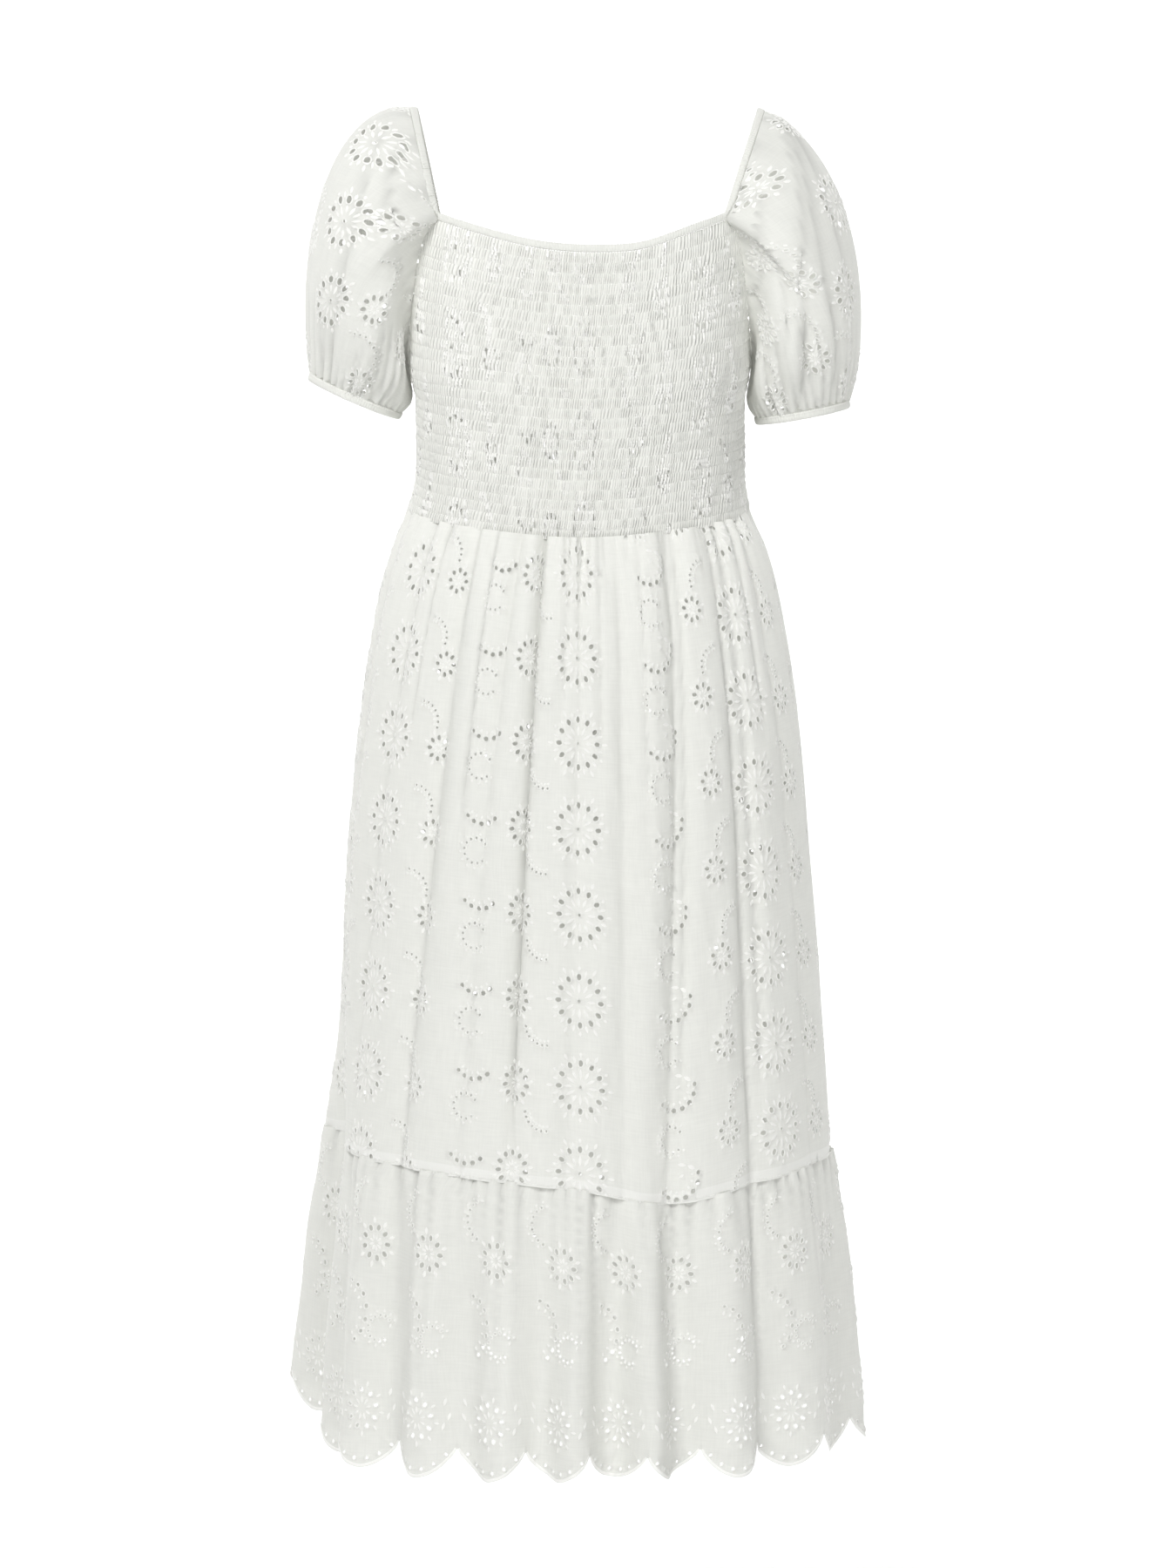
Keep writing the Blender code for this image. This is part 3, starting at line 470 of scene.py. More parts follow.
def hem_level(angle):
    share = np.clip((np.abs(wrapped(angle)) - FRONT_RISE[0]) / (FRONT_RISE[1] - FRONT_RISE[0]), 0.0, 1.0)
    return HEM_Z + FRONT_HEM_RISE * eased(share)


def along_folds(angle, down):
    """For each of the skirt's folds: how far off its line the points lie, and how deep it is there."""
    for waist, flounce, spread, waist_depth, middle_depth, flounce_depth in FOLDS:
        off = wrapped(angle - (waist + (flounce - waist) * down)) / spread
        yield off, smooth_through(down, (0.0, 0.5, 1.0), (waist_depth, middle_depth, flounce_depth))


def fold_depth(angle, down):
    """How far the skirt's troughs lie inside its outline, rounded with a crease along each."""
    depth = np.zeros(np.broadcast(angle, down).shape)
    for off, deep in along_folds(angle, down):
        depth = depth + deep * (0.66 * np.exp(-(off**2)) + 0.52 * np.exp(-np.abs(off) / 0.26))
    return depth


def fold_lines(angle, down):
    """Painted shade lines along the sharp bottoms of the skirt's folds: 1 along the deepest, 0 away from
    them.
    """
    lines = np.zeros(np.broadcast(angle, down).shape)
    for off, deep in along_folds(angle, down):
        lines = lines + np.clip(deep / 0.008, 0.0, 1.0) * np.exp(-np.abs(off) / 0.13)
    return lines


def crease_depth(angle, down):
    """Sharp pressed-in lines that fade out on their way down."""
    depth = np.zeros(np.broadcast(angle, down).shape)
    for top, low, end, deep, width in CREASES:
        off = wrapped(angle - (top + (low - top) * down))
        fade = np.clip((end - down) / 0.18, 0.0, 1.0)
        lean = np.where(off > 0, off / (0.7 * width), -off / (2.4 * width))
        depth = depth + deep * np.exp(-lean) * eased(fade)
    return depth


def short_creases(angle, down):
    """Uneven pressed creases that fan out from the waist seam."""
    depth = np.zeros(np.broadcast(angle, down).shape)
    for k in range(SHORT_CREASES):
        top = -180.0 + 360.0 * (k + 0.7 * hashed(k, 1, 4)) / SHORT_CREASES
        spread = 0.10 * wrapped(top) if abs(top) < 90.0 else -0.10 * wrapped(180.0 - top)
        end = 0.05 + 0.30 * hashed(k, 2, 4) ** 2
        width = 0.45 + 0.45 * hashed(k, 3, 4)
        off = wrapped(angle - top - spread * down / 0.3)
        fade = np.clip((end - down) / (0.7 * end), 0.0, 1.0)
        lean = np.where(off > 0, off / width, -off / (2.4 * width))
        depth = depth + (0.0012 + 0.0014 * hashed(k, 4, 4)) * np.exp(-lean) * fade
    return depth


def waist_gathers(angle, down):
    """Small uneven gathers under the waist seam."""
    turn = np.radians(angle)
    phase = 46.0 * turn + 2.2 * np.sin(5.0 * turn + 0.6) + 1.4 * np.sin(11.0 * turn + 2.0)
    uneven = 0.65 + 0.35 * np.sin(7.0 * turn + 1.3)
    reach = 0.05 + 0.05 * (0.5 + 0.5 * np.sin(13.0 * turn + 0.2))
    return 0.0023 * uneven * np.cos(phase) * np.exp(-down / reach)


def left_fold(angle, tuck_share, lobe_share):
    lobe = LEFT_LOBE[2] * np.exp(-((wrapped(angle - LEFT_LOBE[0]) / LEFT_LOBE[1]) ** 2))
    tuck = LEFT_TUCK[2] * np.exp(-((wrapped(angle - LEFT_TUCK[0]) / LEFT_TUCK[1]) ** 2))
    return lobe * lobe_share - tuck * tuck_share


def skirt_point(angle, down):
    level = waist_level(angle) * (1.0 - down) + flounce_seam_level(angle) * down
    tucked = np.exp(-down / 0.006)
    level = level + 0.0030 * tucked
    grown = np.clip((down - LEFT_FOLD_START) / (1.0 - LEFT_FOLD_START), 0.0, 1.0) ** 2
    radius = body_radius(angle, level) - fold_depth(angle, down) - crease_depth(angle, down)
    radius = radius - short_creases(angle, down) + waist_gathers(angle, down)
    radius = radius + left_fold(angle, grown, 0.65 * grown) - 0.0010 * tucked
    radius = radius + 0.0011 * smooth_noise(angle / 9.0, down * 5.0, 3) * np.clip(down * 6.0, 0.0, 1.0)
    return ring_point(angle, radius, level)


def skirt_shade(angle, down):
    """How much painted shade each point of the skirt gets: more in its creases and fold lines, and below zero
    near the waist, a painted highlight where the flaring cloth catches the light.
    """
    pressed = np.clip(1.6 * (crease_depth(angle, down) / 0.0042 - 0.50), 0.0, 1.0)
    short = np.clip(short_creases(angle, down) / 0.0024 - 0.65, 0.0, 0.5)
    # Painted shade in the creases and fold lines, less a painted highlight near the waist.
    return pressed + short + 0.35 * fold_lines(angle, down) - 0.32 * np.exp(-down / 0.20)


def flounce_wave(angle):
    turn = np.radians(angle)
    uneven = 1.0 + 0.30 * np.sin(3.0 * turn + 1.1) + 0.15 * np.sin(5.0 * turn + 0.4)
    return np.cos(FLOUNCE_WAVES * turn + 1.0 * np.sin(2.0 * turn + 0.7)) * uneven


def flounce_gathers(angle, down):
    """Small uneven gathers under the flounce's seam, each with its own length."""
    turn = np.radians(angle)
    phase = 82.0 * turn + 3.2 * np.sin(4.0 * turn + 1.6) + 2.0 * np.sin(13.0 * turn + 0.7)
    crease = 2.0 * np.abs(np.cos(phase / 2.0)) ** 1.2 - 1.0
    uneven = 0.62 + 0.38 * np.sin(9.0 * turn + 0.8) * np.sin(23.0 * turn)
    reach = 0.08 + 0.34 * (0.5 + 0.5 * np.sin(17.0 * turn + 1.0)) ** 3
    return 0.0034 * uneven * crease * np.exp(-np.maximum(down, 0.0) / reach)


def flounce_shade(angle, down):
    """How much painted shade each point of the flounce gets, by how deep in a gather it lies."""
    return np.clip(0.15 - flounce_gathers(angle, down) / 0.0026, 0.0, 1.2)


def flounce_point(angle, down):
    """A point of the flounce: down is 0 at its seam and 1 at the valleys of its scallops."""
    seam = flounce_seam_level(angle)
    tucked = np.exp(-np.maximum(down, 0.0) / 0.012)
    level = seam + (hem_level(angle) - seam) * down + 0.0022 * tucked
    depth = WAVE_DEPTH_AT_SEAM + (WAVE_DEPTH_AT_HEM - WAVE_DEPTH_AT_SEAM) * np.clip(down, 0.0, 1.1) ** 0.8
    side_fold = fold_depth(angle, 1.0 + 0.0 * down) * (1.0 - 0.35 * down)
    radius = body_radius(angle, level) - side_fold + depth * flounce_wave(angle)
    radius = radius + left_fold(angle, 1.0, 0.65 + 0.35 * down) + flounce_gathers(angle, down)
    radius = radius - 0.0016 * tucked - 0.0030 * down
    radius = radius + 0.0014 * smooth_noise(angle / 7.0, down * 2.0, 8) * np.clip(down * 4.0, 0.0, 1.0)
    return ring_point(angle, radius, level)


def armhole_edge():
    """Close points along the armhole's edge: how far along each lies, its level and its angle."""
    steps = np.hypot(np.diff(ARMHOLE[:, 0]), np.diff(ARMHOLE[:, 1]) * 0.0026)
    along = running_total(steps) / steps.sum()
    close = np.linspace(0.0, 1.0, 241)
    return close, smooth_through(close, along, ARMHOLE[:, 0]), smooth_through(close, along, ARMHOLE[:, 1])


ARMHOLE_ALONG, ARMHOLE_LEVELS, ARMHOLE_ANGLES = armhole_edge()


def panel_reach(level):
    """How many degrees round the body the bodice panel reaches at this level."""
    return np.interp(level, ARMHOLE_LEVELS, ARMHOLE_ANGLES, left=90.0)


def neck_lift(back, level, across):
    """How much higher the back's cloth lies than its solid, growing towards the neck."""
    if not back:
        return 0.0 * level
    up = np.clip((level - WAIST_Z) / (ARMHOLE_LEVELS[-1] - WAIST_Z), 0.0, 1.0)
    middle = 0.0030 * np.exp(-(((across + 0.05) / 0.35) ** 2))
    right = 0.0034 * np.exp(-(((across - 0.5) / 0.25) ** 2))
    return up * up * (0.0065 + middle - right)


def bodice_point(back, angle, level, out=0.0):
    """A point of the bodice, out metres off its middle surface; the angle stops at the armhole."""
    reach = panel_reach(level)
    across = np.clip(angle / reach, -1.0, 1.0)
    angle = across * reach
    up = (level - WAIST_Z) / (ARMHOLE_LEVELS[-1] - WAIST_Z)
    waist_dip, neck_dip = (WAIST_DIP, NECK_DIP) if back else (FRONT_WAIST_DIP, FRONT_NECK_DROP)
    dip = waist_dip + (neck_dip - waist_dip) * up
    turned = angle if back else angle + 180.0
    lift = neck_lift(back, level, across)
    return ring_point(turned, body_radius(turned, level) + out, level - dip * dip_share(across) + lift)


def bodice_edge(side, back, up):
    """A point of the armhole edge, the body's normal there and the way into the hole."""
    up = np.asarray(up, float)
    sign = side if back else -side

    def edge(height):
        turned = sign * np.interp(height, ARMHOLE_ALONG, ARMHOLE_ANGLES)
        turned = turned if back else turned + 180.0
        at = np.interp(height, ARMHOLE_ALONG, ARMHOLE_LEVELS)
        lift = neck_lift(back, at, sign * (1.0 if back else -1.0) + 0.0 * at)
        return ring_point(turned, body_radius(turned, at), at + lift), turned, at

    point, turned, level = edge(up)
    tangent = unit(edge(np.clip(up + 0.02, 0, 1))[0] - edge(np.clip(up - 0.02, 0, 1))[0])
    before = ring_point(turned - 0.4, body_radius(turned - 0.4, level), level)
    after = ring_point(turned + 0.4, body_radius(turned + 0.4, level), level)
    normal = unit(np.stack([(after - before)[..., 1], -(after - before)[..., 0], 0.0 * level], axis=-1))
    away = unit(np.cross(tangent, normal))
    middle = np.array([side * 0.150, 0.0, -0.150])
    flip = np.sum(away * (middle - point), axis=-1, keepdims=True) < 0
    return point, normal, np.where(flip, -away, away)


def arch_point(side, swing):
    """The neck edge over the shoulder, from the back corner at -1 to the front corner at 1."""
    swing = np.asarray(swing, float)
    rise = np.array([0.0, 0.0, CASING_WIDTH + SEAM_GAP])
    at_back, at_front = (bodice_edge(side, back, 1.0)[0] for back in (True, False))
    corner = np.where(swing[..., None] < 0, at_back, at_front) + rise
    quarter = np.radians(90.0 * np.abs(swing))
    top_x = side * SLEEVE_TOPS[side][0]
    x = top_x + (corner[..., 0] - top_x) * (1.0 - np.cos(quarter))
    return np.stack([x, corner[..., 1] * np.sin(quarter), corner[..., 2] * (1.0 - np.cos(quarter))], axis=-1)


def top_share(node):
    return eased(np.clip(1.0 - np.asarray(node, float) / TOP_FADES_BY, 0.0, 1.0))


def path_value(node, which):
    return smooth_through(node, SLEEVE_PATHS[:, 0], SLEEVE_PATHS[:, which])


def leave_direction(side, node, back):
    """The way in which the sleeve's cloth leaves the neck or the armhole."""
    sign = -1.0 if back else 1.0
    up = path_value(node, 3) + SLEEVE_TOPS[side][2] * top_share(node)
    return unit(np.stack([side * path_value(node, 1), sign * path_value(node, 2), up], axis=-1))


def path_reach(side, node, which):
    share = top_share(node)
    own = SLEEVE_TOPS[side][1] if which == 4 else SLEEVE_TOPS[side][3]
    return (path_value(node, which) * (1.0 - share) + own * share)[..., None]


def cuff_frame(hand):
    side, x, z, half_width, tilt, half_depth, back_drop = CUFFS[hand]
    lean = math.radians(tilt)
    centre = np.array([x, 0.0, z])
    out = np.array([side * math.cos(lean), 0.0, math.sin(lean)]) * half_width
    rear = np.array([0.0, -half_depth, -back_drop])
    axis = np.cross(out, rear)
    axis = axis / np.linalg.norm(axis)
    return side, centre, out, rear, axis if axis[2] > 0 else -axis


def sleeve_folds(hand, node, down, back):
    """The long folds of a sleeve, and how deep in one each point lies, for its painted shade."""
    depth = np.zeros(np.broadcast(node, down).shape)
    inside = np.zeros(depth.shape)
    for top, middle, cuff, start, end, deep, width in SLEEVE_FOLDS[hand]:
        off = node + (0.0 if back else 0.6) - smooth_through(down, (0.0, 0.5, 1.0), (top, middle, cuff))
        ends = np.clip((down - start) / 0.15 + 0.4, 0.0, 1.0) * np.clip((end - down) / 0.15 + 0.4, 0.0, 1.0)
        lean = np.where(off > 0, off / (0.45 * width), -off / (1.8 * width))
        depth = depth + deep * ends * (0.7 * np.exp(-lean) + 0.3 * np.exp(-((off / (1.6 * width)) ** 2)))
        inside = inside + ends * np.exp(-2.2 * lean)
    nodes, lines = ARM_TUCKS[hand]
    beyond = (down - np.interp(node, nodes, lines)) * np.interp(node, *SLEEVE_LENGTHS)
    ends = np.clip((node - nodes[0]) / 0.8, 0.0, 1.0) * np.clip((nodes[-1] - node) / 1.5, 0.0, 1.0)
    lean = np.where(beyond > 0, beyond / 0.007, -beyond / 0.0025)
    depth = depth + 0.0050 * ends * np.exp(-lean)
    inside = inside + ends * np.exp(-2.0 * lean)
    return depth, inside


def sleeve_gathers(node, down):
    """Small gathers at both elastics of a sleeve."""
    phase = np.pi * node / HALF_SLEEVE
    at_cuff = np.exp(-(1.0 - down) / (0.10 + 0.05 * np.sin(9.0 * phase)))
    at_top = np.exp(-down / (0.09 + 0.05 * np.sin(7.0 * phase + 1.0)))
    fine = np.cos(31.0 * phase + 1.6 * np.sin(5.0 * phase + 0.4))
    finer = np.cos(53.0 * phase + 2.0 * np.sin(4.0 * phase))
    small = 0.0019 * fine * at_cuff + 0.0009 * finer * at_cuff + 0.0015 * fine * at_top
    return small * np.clip((HALF_SLEEVE + 1.5 - node) / 4.0, 0.2, 1.0)


def sleeve_waves(hand, node, down, back):
    """The gathers of a sleeve: long folds, soft ones all over, and small ones at both elastics."""
    phase = np.pi * node / HALF_SLEEVE
    soft = 0.0022 * np.cos(8.0 * phase + 0.5 * np.sin(3.0 * phase)) * np.sin(np.pi * down) ** 0.7
    return soft - sleeve_folds(hand, node, down, back)[0] + sleeve_gathers(node, down)


def sleeve_shade(hand, node, down, back):
    """How much painted shade each point of a sleeve gets, by how deep in a fold or gather it lies."""
    inside = sleeve_folds(hand, node, down, back)[1] - 0.25
    return np.clip(inside, 0.0, 1.0) + np.clip(-sleeve_gathers(node, down) / 0.0022, 0.0, 0.8)


def sleeve_point(hand, node, down, back):
    """A point of the sleeve: node is 0 over the shoulder and 16 under the arm, down is 1 at the cuff."""
    side, centre, out, rear, axis = cuff_frame(hand)
    node, down = np.broadcast_arrays(np.asarray(node, float), np.asarray(down, float))
    turn = np.pi * node / HALF_SLEEVE
    radial = np.cos(turn)[..., None] * out + (1.0 if back else -1.0) * np.sin(turn)[..., None] * rear
    end = centre + radial
    direction = leave_direction(side, node, back)
    swing = (-1.0 if back else 1.0) * ARCH_END * np.clip(node / ARCH_NODES, 0.0, 1.0)
    on_arch = arch_point(side, swing) + direction * (CASING_WIDTH + SEAM_GAP)
    up = np.clip((ARCH_NODES + 1 + ARMHOLE_NODES - node) / ARMHOLE_NODES, 0.0, 1.0)
    point, normal, away = bodice_edge(side, back, up)
    share = np.clip(node - ARCH_NODES, 0.0, 1.0)[..., None]
    start = on_arch * (1.0 - share) + (point + away * 0.0006 + normal * 0.0012) * share
    first = start + direction * path_reach(side, node, 4)
    last = end + (BLOUSE_OUT * unit(radial) + BLOUSE_UP * axis) * path_reach(side, node, 5)
    t = down[..., None]
    curve = (1 - t) ** 3 * start + 3 * t * (1 - t) ** 2 * first + 3 * t * t * (1 - t) * last + t**3 * end
    held = np.clip(down / 0.06, 0.0, 1.0) * np.clip((HALF_SLEEVE - node) / 0.8, 0.0, 1.0)
    raised = sleeve_waves(hand, node, down, back) * held
    return curve + unit(radial + 0.3 * (end - start)) * raised[..., None]


def cos_sin(angle):
    """The cosine and sine of an angle in degrees."""
    return math.cos(math.radians(angle)), math.sin(math.radians(angle))


def ellipse(x, y, long_half, wide_half, tilt, count):
    """Points round an ellipse whose long axis leans tilt degrees."""
    turn = np.radians(np.arange(count) * 360.0 / count)
    lean = math.radians(tilt)
    along, across = long_half * np.cos(turn), wide_half * np.sin(turn)
    return np.stack([
        x + along * math.cos(lean) - across * math.sin(lean),
        y + along * math.sin(lean) + across * math.cos(lean),
    ], axis=1)


class Embroidery:
    """Flat shapes in millimetres: eyelets with a satin rim, leaves and bands of satin stitch."""

    def __init__(self):
        self.eyelets = []
        self.leaves = []
        self.bands = []

    def eyelet(self, x, y, long_half, wide_half, tilt, sides, rim):
        self.eyelets.append((x, y, long_half, wide_half, tilt, sides, rim))

    def leaf(self, x0, y0, x1, y1, width):
        self.leaves.append((x0, y0, x1, y1, width))

    def band(self, points, width):
        self.bands.append((points, width))

    def ring_eyelet(self, x, y, wide, tall, angle, long_half, wide_half, sides, rim):
        """An eyelet on an oval round x and y, whose long axis points away from them."""
        c, s = cos_sin(angle)
        lean = math.degrees(math.atan2(s * tall, c * wide))
        self.eyelet(x + wide * c, y + tall * s, long_half, wide_half, lean, sides, rim)

    def ray(self, x, y, wide, tall, angle, near, far, width):
        """A leaf that points away from x and y, from one share of an oval's reach to another."""
        c, s = cos_sin(angle)
        self.leaf(x + near * wide * c, y + near * tall * s, x + far * wide * c, y + far * tall * s, width)


def rosette(work, x, y, wide=20.5, tall=21.5, holes=12, turn=0.0, size=1.0):
    """A large flower: a ring of eyelets round a small one, with satin petals inside and out."""
    work.eyelet(x, y, 1.35, 1.35, 0.0, 8, 0.7)
    for k in range(holes):
        angle = turn + 360.0 * k / holes
        inner, outer = (0.30, 1.46) if k % 2 else (0.38, 1.58)
        work.ring_eyelet(x, y, wide, tall, angle, 2.8 * size, 2.0 * size, 10, 1.15)
        work.ray(x, y, wide, tall, angle, inner, 0.77, 2.7)
        work.ray(x, y, wide, tall, angle + 180.0 / holes, 1.02, 1.34, 2.7)
        work.ray(x, y, wide, tall, angle, 1.26, outer, 2.9)


def small_flower(work, x, y, wide=9.0, tall=9.6, holes=8, turn=12.0, size=1.0):
    """A small flower of eyelets with short petals."""
    near, far = 1.0 + 2.0 / wide, 1.0 + 7.4 / wide
    for k in range(holes):
        angle = turn + 360.0 * k / holes
        work.ring_eyelet(x, y, wide, tall, angle, 2.4 * size, 1.7 * size, 8, 1.0)
        work.ray(x, y, wide, tall, angle, 0.16, 0.58, 2.2)
        work.ray(x, y, wide, tall, angle + 180.0 / holes, near, far, 3.0)


def tail(work, x, y, radius, start, end, count, first_half, last_half, petals=1.0, hook=False):
    """Small eyelets along an arc, getting smaller, with satin petals outside it at 1 or inside it at -1."""
    for k in range(count):
        share = k / (count - 1)
        angle = start + (end - start) * share
        c, s = cos_sin(angle)
        half = first_half + (last_half - first_half) * share
        work.eyelet(x + radius * c, y + radius * s, half * 1.1, half * 0.85, angle, 6, 0.95 + 0.2 * half)
        far = radius + petals * (half + 1.6)
        between = angle + (end - start) / (count - 1) * 0.5
        work.ray(x, y, 1.0, 1.0, between, far, far + petals * 2.8, 2.5)
    if hook:
        way = 1.0 if end > start else -1.0
        c, s = cos_sin(end + way * 180.0 / radius)
        c2, s2 = cos_sin(end + way * 420.0 / radius)
        work.leaf(x + radius * c, y + radius * s, x + (radius - 2.0) * c2, y + (radius - 2.0) * s2, 2.0)


def curl_pair(work, x, y, whole=True):
    """Two curls: one of large eyelets with a satin stem, and a ring of small eyelets below it."""
    middle = y - 20.5
    for angle, half in ((-4, 1.75), (20, 1.9), (44, 2.05), (68, 2.15), (92, 2.1), (115, 1.9), (137, 1.7)):
        if whole or angle > 30:
            c, s = cos_sin(angle)
            work.eyelet(x + 20.0 * c, middle + 20.0 * s, half * 1.15, half, angle + 90.0, 8, 0.9)
            work.ray(x, middle, 1.0, 1.0, angle, 16.2, 12.6, 2.6)
    if whole:
        work.leaf(x + 17.0, y - 25.5, x + 10.0, y - 29.5, 3.8)
        work.leaf(x + 9.0, y - 29.8, x + 1.0, y - 31.0, 3.4)
        work.leaf(x + 6.5, y - 22.0, x + 1.5, y - 19.5, 2.4)
    tail(work, x - 5.0, y + 24.5, 11.5, -35.0, -310.0, 11, 1.2, 1.0)


def repeat_motifs():
    """One repeat of the all-over embroidery."""
    work = Embroidery()
    rosette(work, 5.0, 0.0)
    curl_pair(work, 100.0, 13.0)
    small_flower(work, 153.0, 39.0)
    tail(work, 174.0, 14.5, 18.5, 166.0, 264.0, 7, 1.25, 1.0, petals=-1.0)
    rosette(work, -228.0, 12.0)
    small_flower(work, -166.0, 17.0, turn=0.0)
    tail(work, -187.0, -6.0, 18.5, 14.0, -88.0, 7, 1.25, 1.0, petals=-1.0)
    curl_pair(work, -104.0, 3.0, whole=False)
    small_flower(work, -59.0, 2.0, 13.2, 14.2, 11, 8.0, 1.1)
    tail(work, -30.0, 25.5, 17.0, 176.0, 80.0, 7, 1.25, 1.0, petals=-1.0)
    return work


def flower_with_tail(work, x, y, way):
    """A flower of nine eyelets and the tail of small ones that leaves its top and curls over."""
    small_flower(work, x, y, 12.0, 11.0, 9, 0.0, 1.2)
    start, end = (25.0, -115.0) if way > 0 else (155.0, 295.0)
    tail(work, x - way * 12.0, y - 25.0, 20.0, start, end, 9, 1.3, 0.95)


def sleeve_cloth(hand, wide, tall):
    """Flat sleeve cloth, embroidered past its edges so that they cut through its motifs."""
    work = Embroidery()
    way = 1 if hand == "left" else -1
    for kind, across, up in SLEEVE_MOTIFS[hand]:
        if kind == "rosette":
            rosette(work, across, tall - up, 17.5, 20.0, 12, 8.0, 1.2)
        else:
            flower_with_tail(work, across, tall - up, way)
    past = 80.0
    outline = [(-past, -past), (wide + past, -past), (wide + past, tall + past), (-past, tall + past)]
    grid = [
        (x + 1.8 * (j % 2), y)
        for j, y in enumerate(np.arange(-past + 4.0, tall + past - 3.0, 6.2))
        for x in np.arange(-past + 3.0, wide + past - 4.0, 3.6)
        if -8.0 < x < wide + 8.0 and -8.0 < y < tall + 8.0
    ]
    return flat_tile(work, outline, grid)


def scallop_edge(x, pitch):
    """How far down the flounce its lower edge lies, at x from the middle of a scallop."""
    drop = SCALLOP_DROP_MM * np.maximum(1.0 - np.abs(2.0 * np.asarray(x) / pitch) ** 1.75, 0.0) ** 0.80
    return VALLEY_MM + float(drop)


def border_motifs(pitch):
    """The flounce's embroidery above one scallop, in three rows."""
    work = Embroidery()
    small_flower(work, 8.0, 64.0, 11.2, 12.6, 9, 5.0, 1.05)
    tail(work, -1.5, 32.5, 18.0, 118.0, 236.0, 8, 1.25, 0.95, hook=True)
    for angle, half in ((-82, 1.5), (-60, 1.7), (-38, 1.9), (-14, 2.0), (10, 1.9), (33, 1.7), (55, 1.5)):
        c, s = cos_sin(angle)
        work.eyelet(-19.0 + 21.0 * c, 122.0 + 26.0 * s, half, half * 0.8, angle + 90.0, 8, 1.1)
        work.leaf(-19.0 + 17.6 * c, 122.0 + 22.4 * s, -19.0 + 14.0 * c, 122.0 + 18.4 * s, 2.4)
    tail(work, 15.5, 133.0, 10.4, 62.0, 318.0, 11, 0.90, 0.80, hook=True)
    low = 198.0
    for k in range(9):
        angle = -90.0 + 40.0 * k
        work.ring_eyelet(0.0, low, 11.5, 15.0, angle, 1.7, 1.1, 8, 1.1)
        c, s = cos_sin(angle)
        work.leaf(3.2 * c, low + 4.0 * s, 7.6 * c, low + 10.2 * s, 1.9)
        c, s = cos_sin(angle + 20.0)
        work.leaf(14.0 * c, low + 18.0 * s, 18.5 * c, low + 23.4 * s, 2.2)
    for x in (-24.0, -14.5, -5.0, 5.0, 14.5, 24.0):
        work.eyelet(x, scallop_edge(x, pitch) - 7.0, 1.35, 0.95, 90.0 - x * 1.6, 6, 0.9)
    for x, y in ((-28.0, 193.0), (-22.5, 201.0), (22.5, 201.0), (28.0, 193.0), (-25.5, 181.0), (25.5, 181.0)):
        work.leaf(x, y, x * 0.90, y + 6.5, 2.6)
    return work


def flat_tile(work, outline, grid_points):
    """The motifs cut into a flat tile: points, how far each is raised, triangles, and which are satin."""
    points, raised, edges, faces, kinds = [], [], [], [], []

    def add_ring(ring, lift, kind=None, closed=True):
        start = len(points)
        points.extend(Vector((float(p[0]), float(p[1]))) for p in ring)
        raised.extend([lift] * len(ring))
        numbers = list(range(start, start + len(ring)))
        if kind:
            flat_ring = np.array([(p[0], p[1]) for p in ring])
            ahead = np.roll(flat_ring, -1, axis=0)
            turning = np.sum(flat_ring[:, 0] * ahead[:, 1] - flat_ring[:, 1] * ahead[:, 0])
            faces.append(numbers if turning > 0 else numbers[::-1])
            kinds.append(kind)
        last = len(ring) if closed else len(ring) - 1
        edges.extend((numbers[i], numbers[(i + 1) % len(ring)]) for i in range(last))

    add_ring(outline, 0.0, "cloth")
    keep_out = []
    for x, y, long_half, wide_half, tilt, sides, rim in work.eyelets:
        add_ring(ellipse(x, y, long_half, wide_half, tilt, sides), -0.25, "hole")
        add_ring(ellipse(x, y, long_half + 0.45 * rim, wide_half + 0.45 * rim, tilt, sides), 1.0)
        add_ring(ellipse(x, y, long_half + rim, wide_half + rim, tilt, sides), 0.05, "satin")
        keep_out.append((x, y, long_half + rim + 0.6))
    for x0, y0, x1, y1, width in work.leaves:
        along = np.array([x1 - x0, y1 - y0])
        long = np.linalg.norm(along)
        across = np.array([-along[1], along[0]]) / long * width / 2
        base = np.array([x0, y0])
        left = [base + along * t + across * w for t, w in ((0.30, 0.85), (0.68, 0.90))]
        right = [base + along * t - across * w for t, w in ((0.68, 0.90), (0.30, 0.85))]
        add_ring([base, *left, base + along, *right], 0.0, "satin")
        add_ring([base + along * 0.28, base + along * 0.72], 0.9, closed=False)
        keep_out.append((x0 + along[0] / 2, y0 + along[1] / 2, long / 2 + 0.5))
    for line, width in work.bands:
        line = np.asarray(line)
        way = unit(np.gradient(line, axis=0))
        across = np.stack([-way[:, 1], way[:, 0]], axis=1) * width / 2
        ring = list(line + across) + list((line - across)[::-1])
        add_ring(ring, 0.15, "satin")
        add_ring(list(line), 1.0, closed=False)
    kept = np.asarray(keep_out)
    for x, y in grid_points:
        if len(kept) and (np.hypot(kept[:, 0] - x, kept[:, 1] - y) < kept[:, 2]).any():
            continue
        points.append(Vector((float(x), float(y))))
        raised.append(0.0)
    cut = delaunay_2d_cdt(points, edges, faces, 0, 1e-4, True)
    flat = np.array([tuple(p) for p in cut[0]])
    lifts = np.array([max((raised[i] for i in origin), default=0.3) if origin else 0.3 for origin in cut[3]])
    triangles, satin = [], []
    for corners, origin in zip(cut[2], cut[5]):
        held = {kinds[i] for i in origin}
        if "cloth" in held and "hole" not in held:
            triangles.append(corners)
            satin.append("satin" in held)
    return flat, lifts, np.array(triangles), np.array(satin)


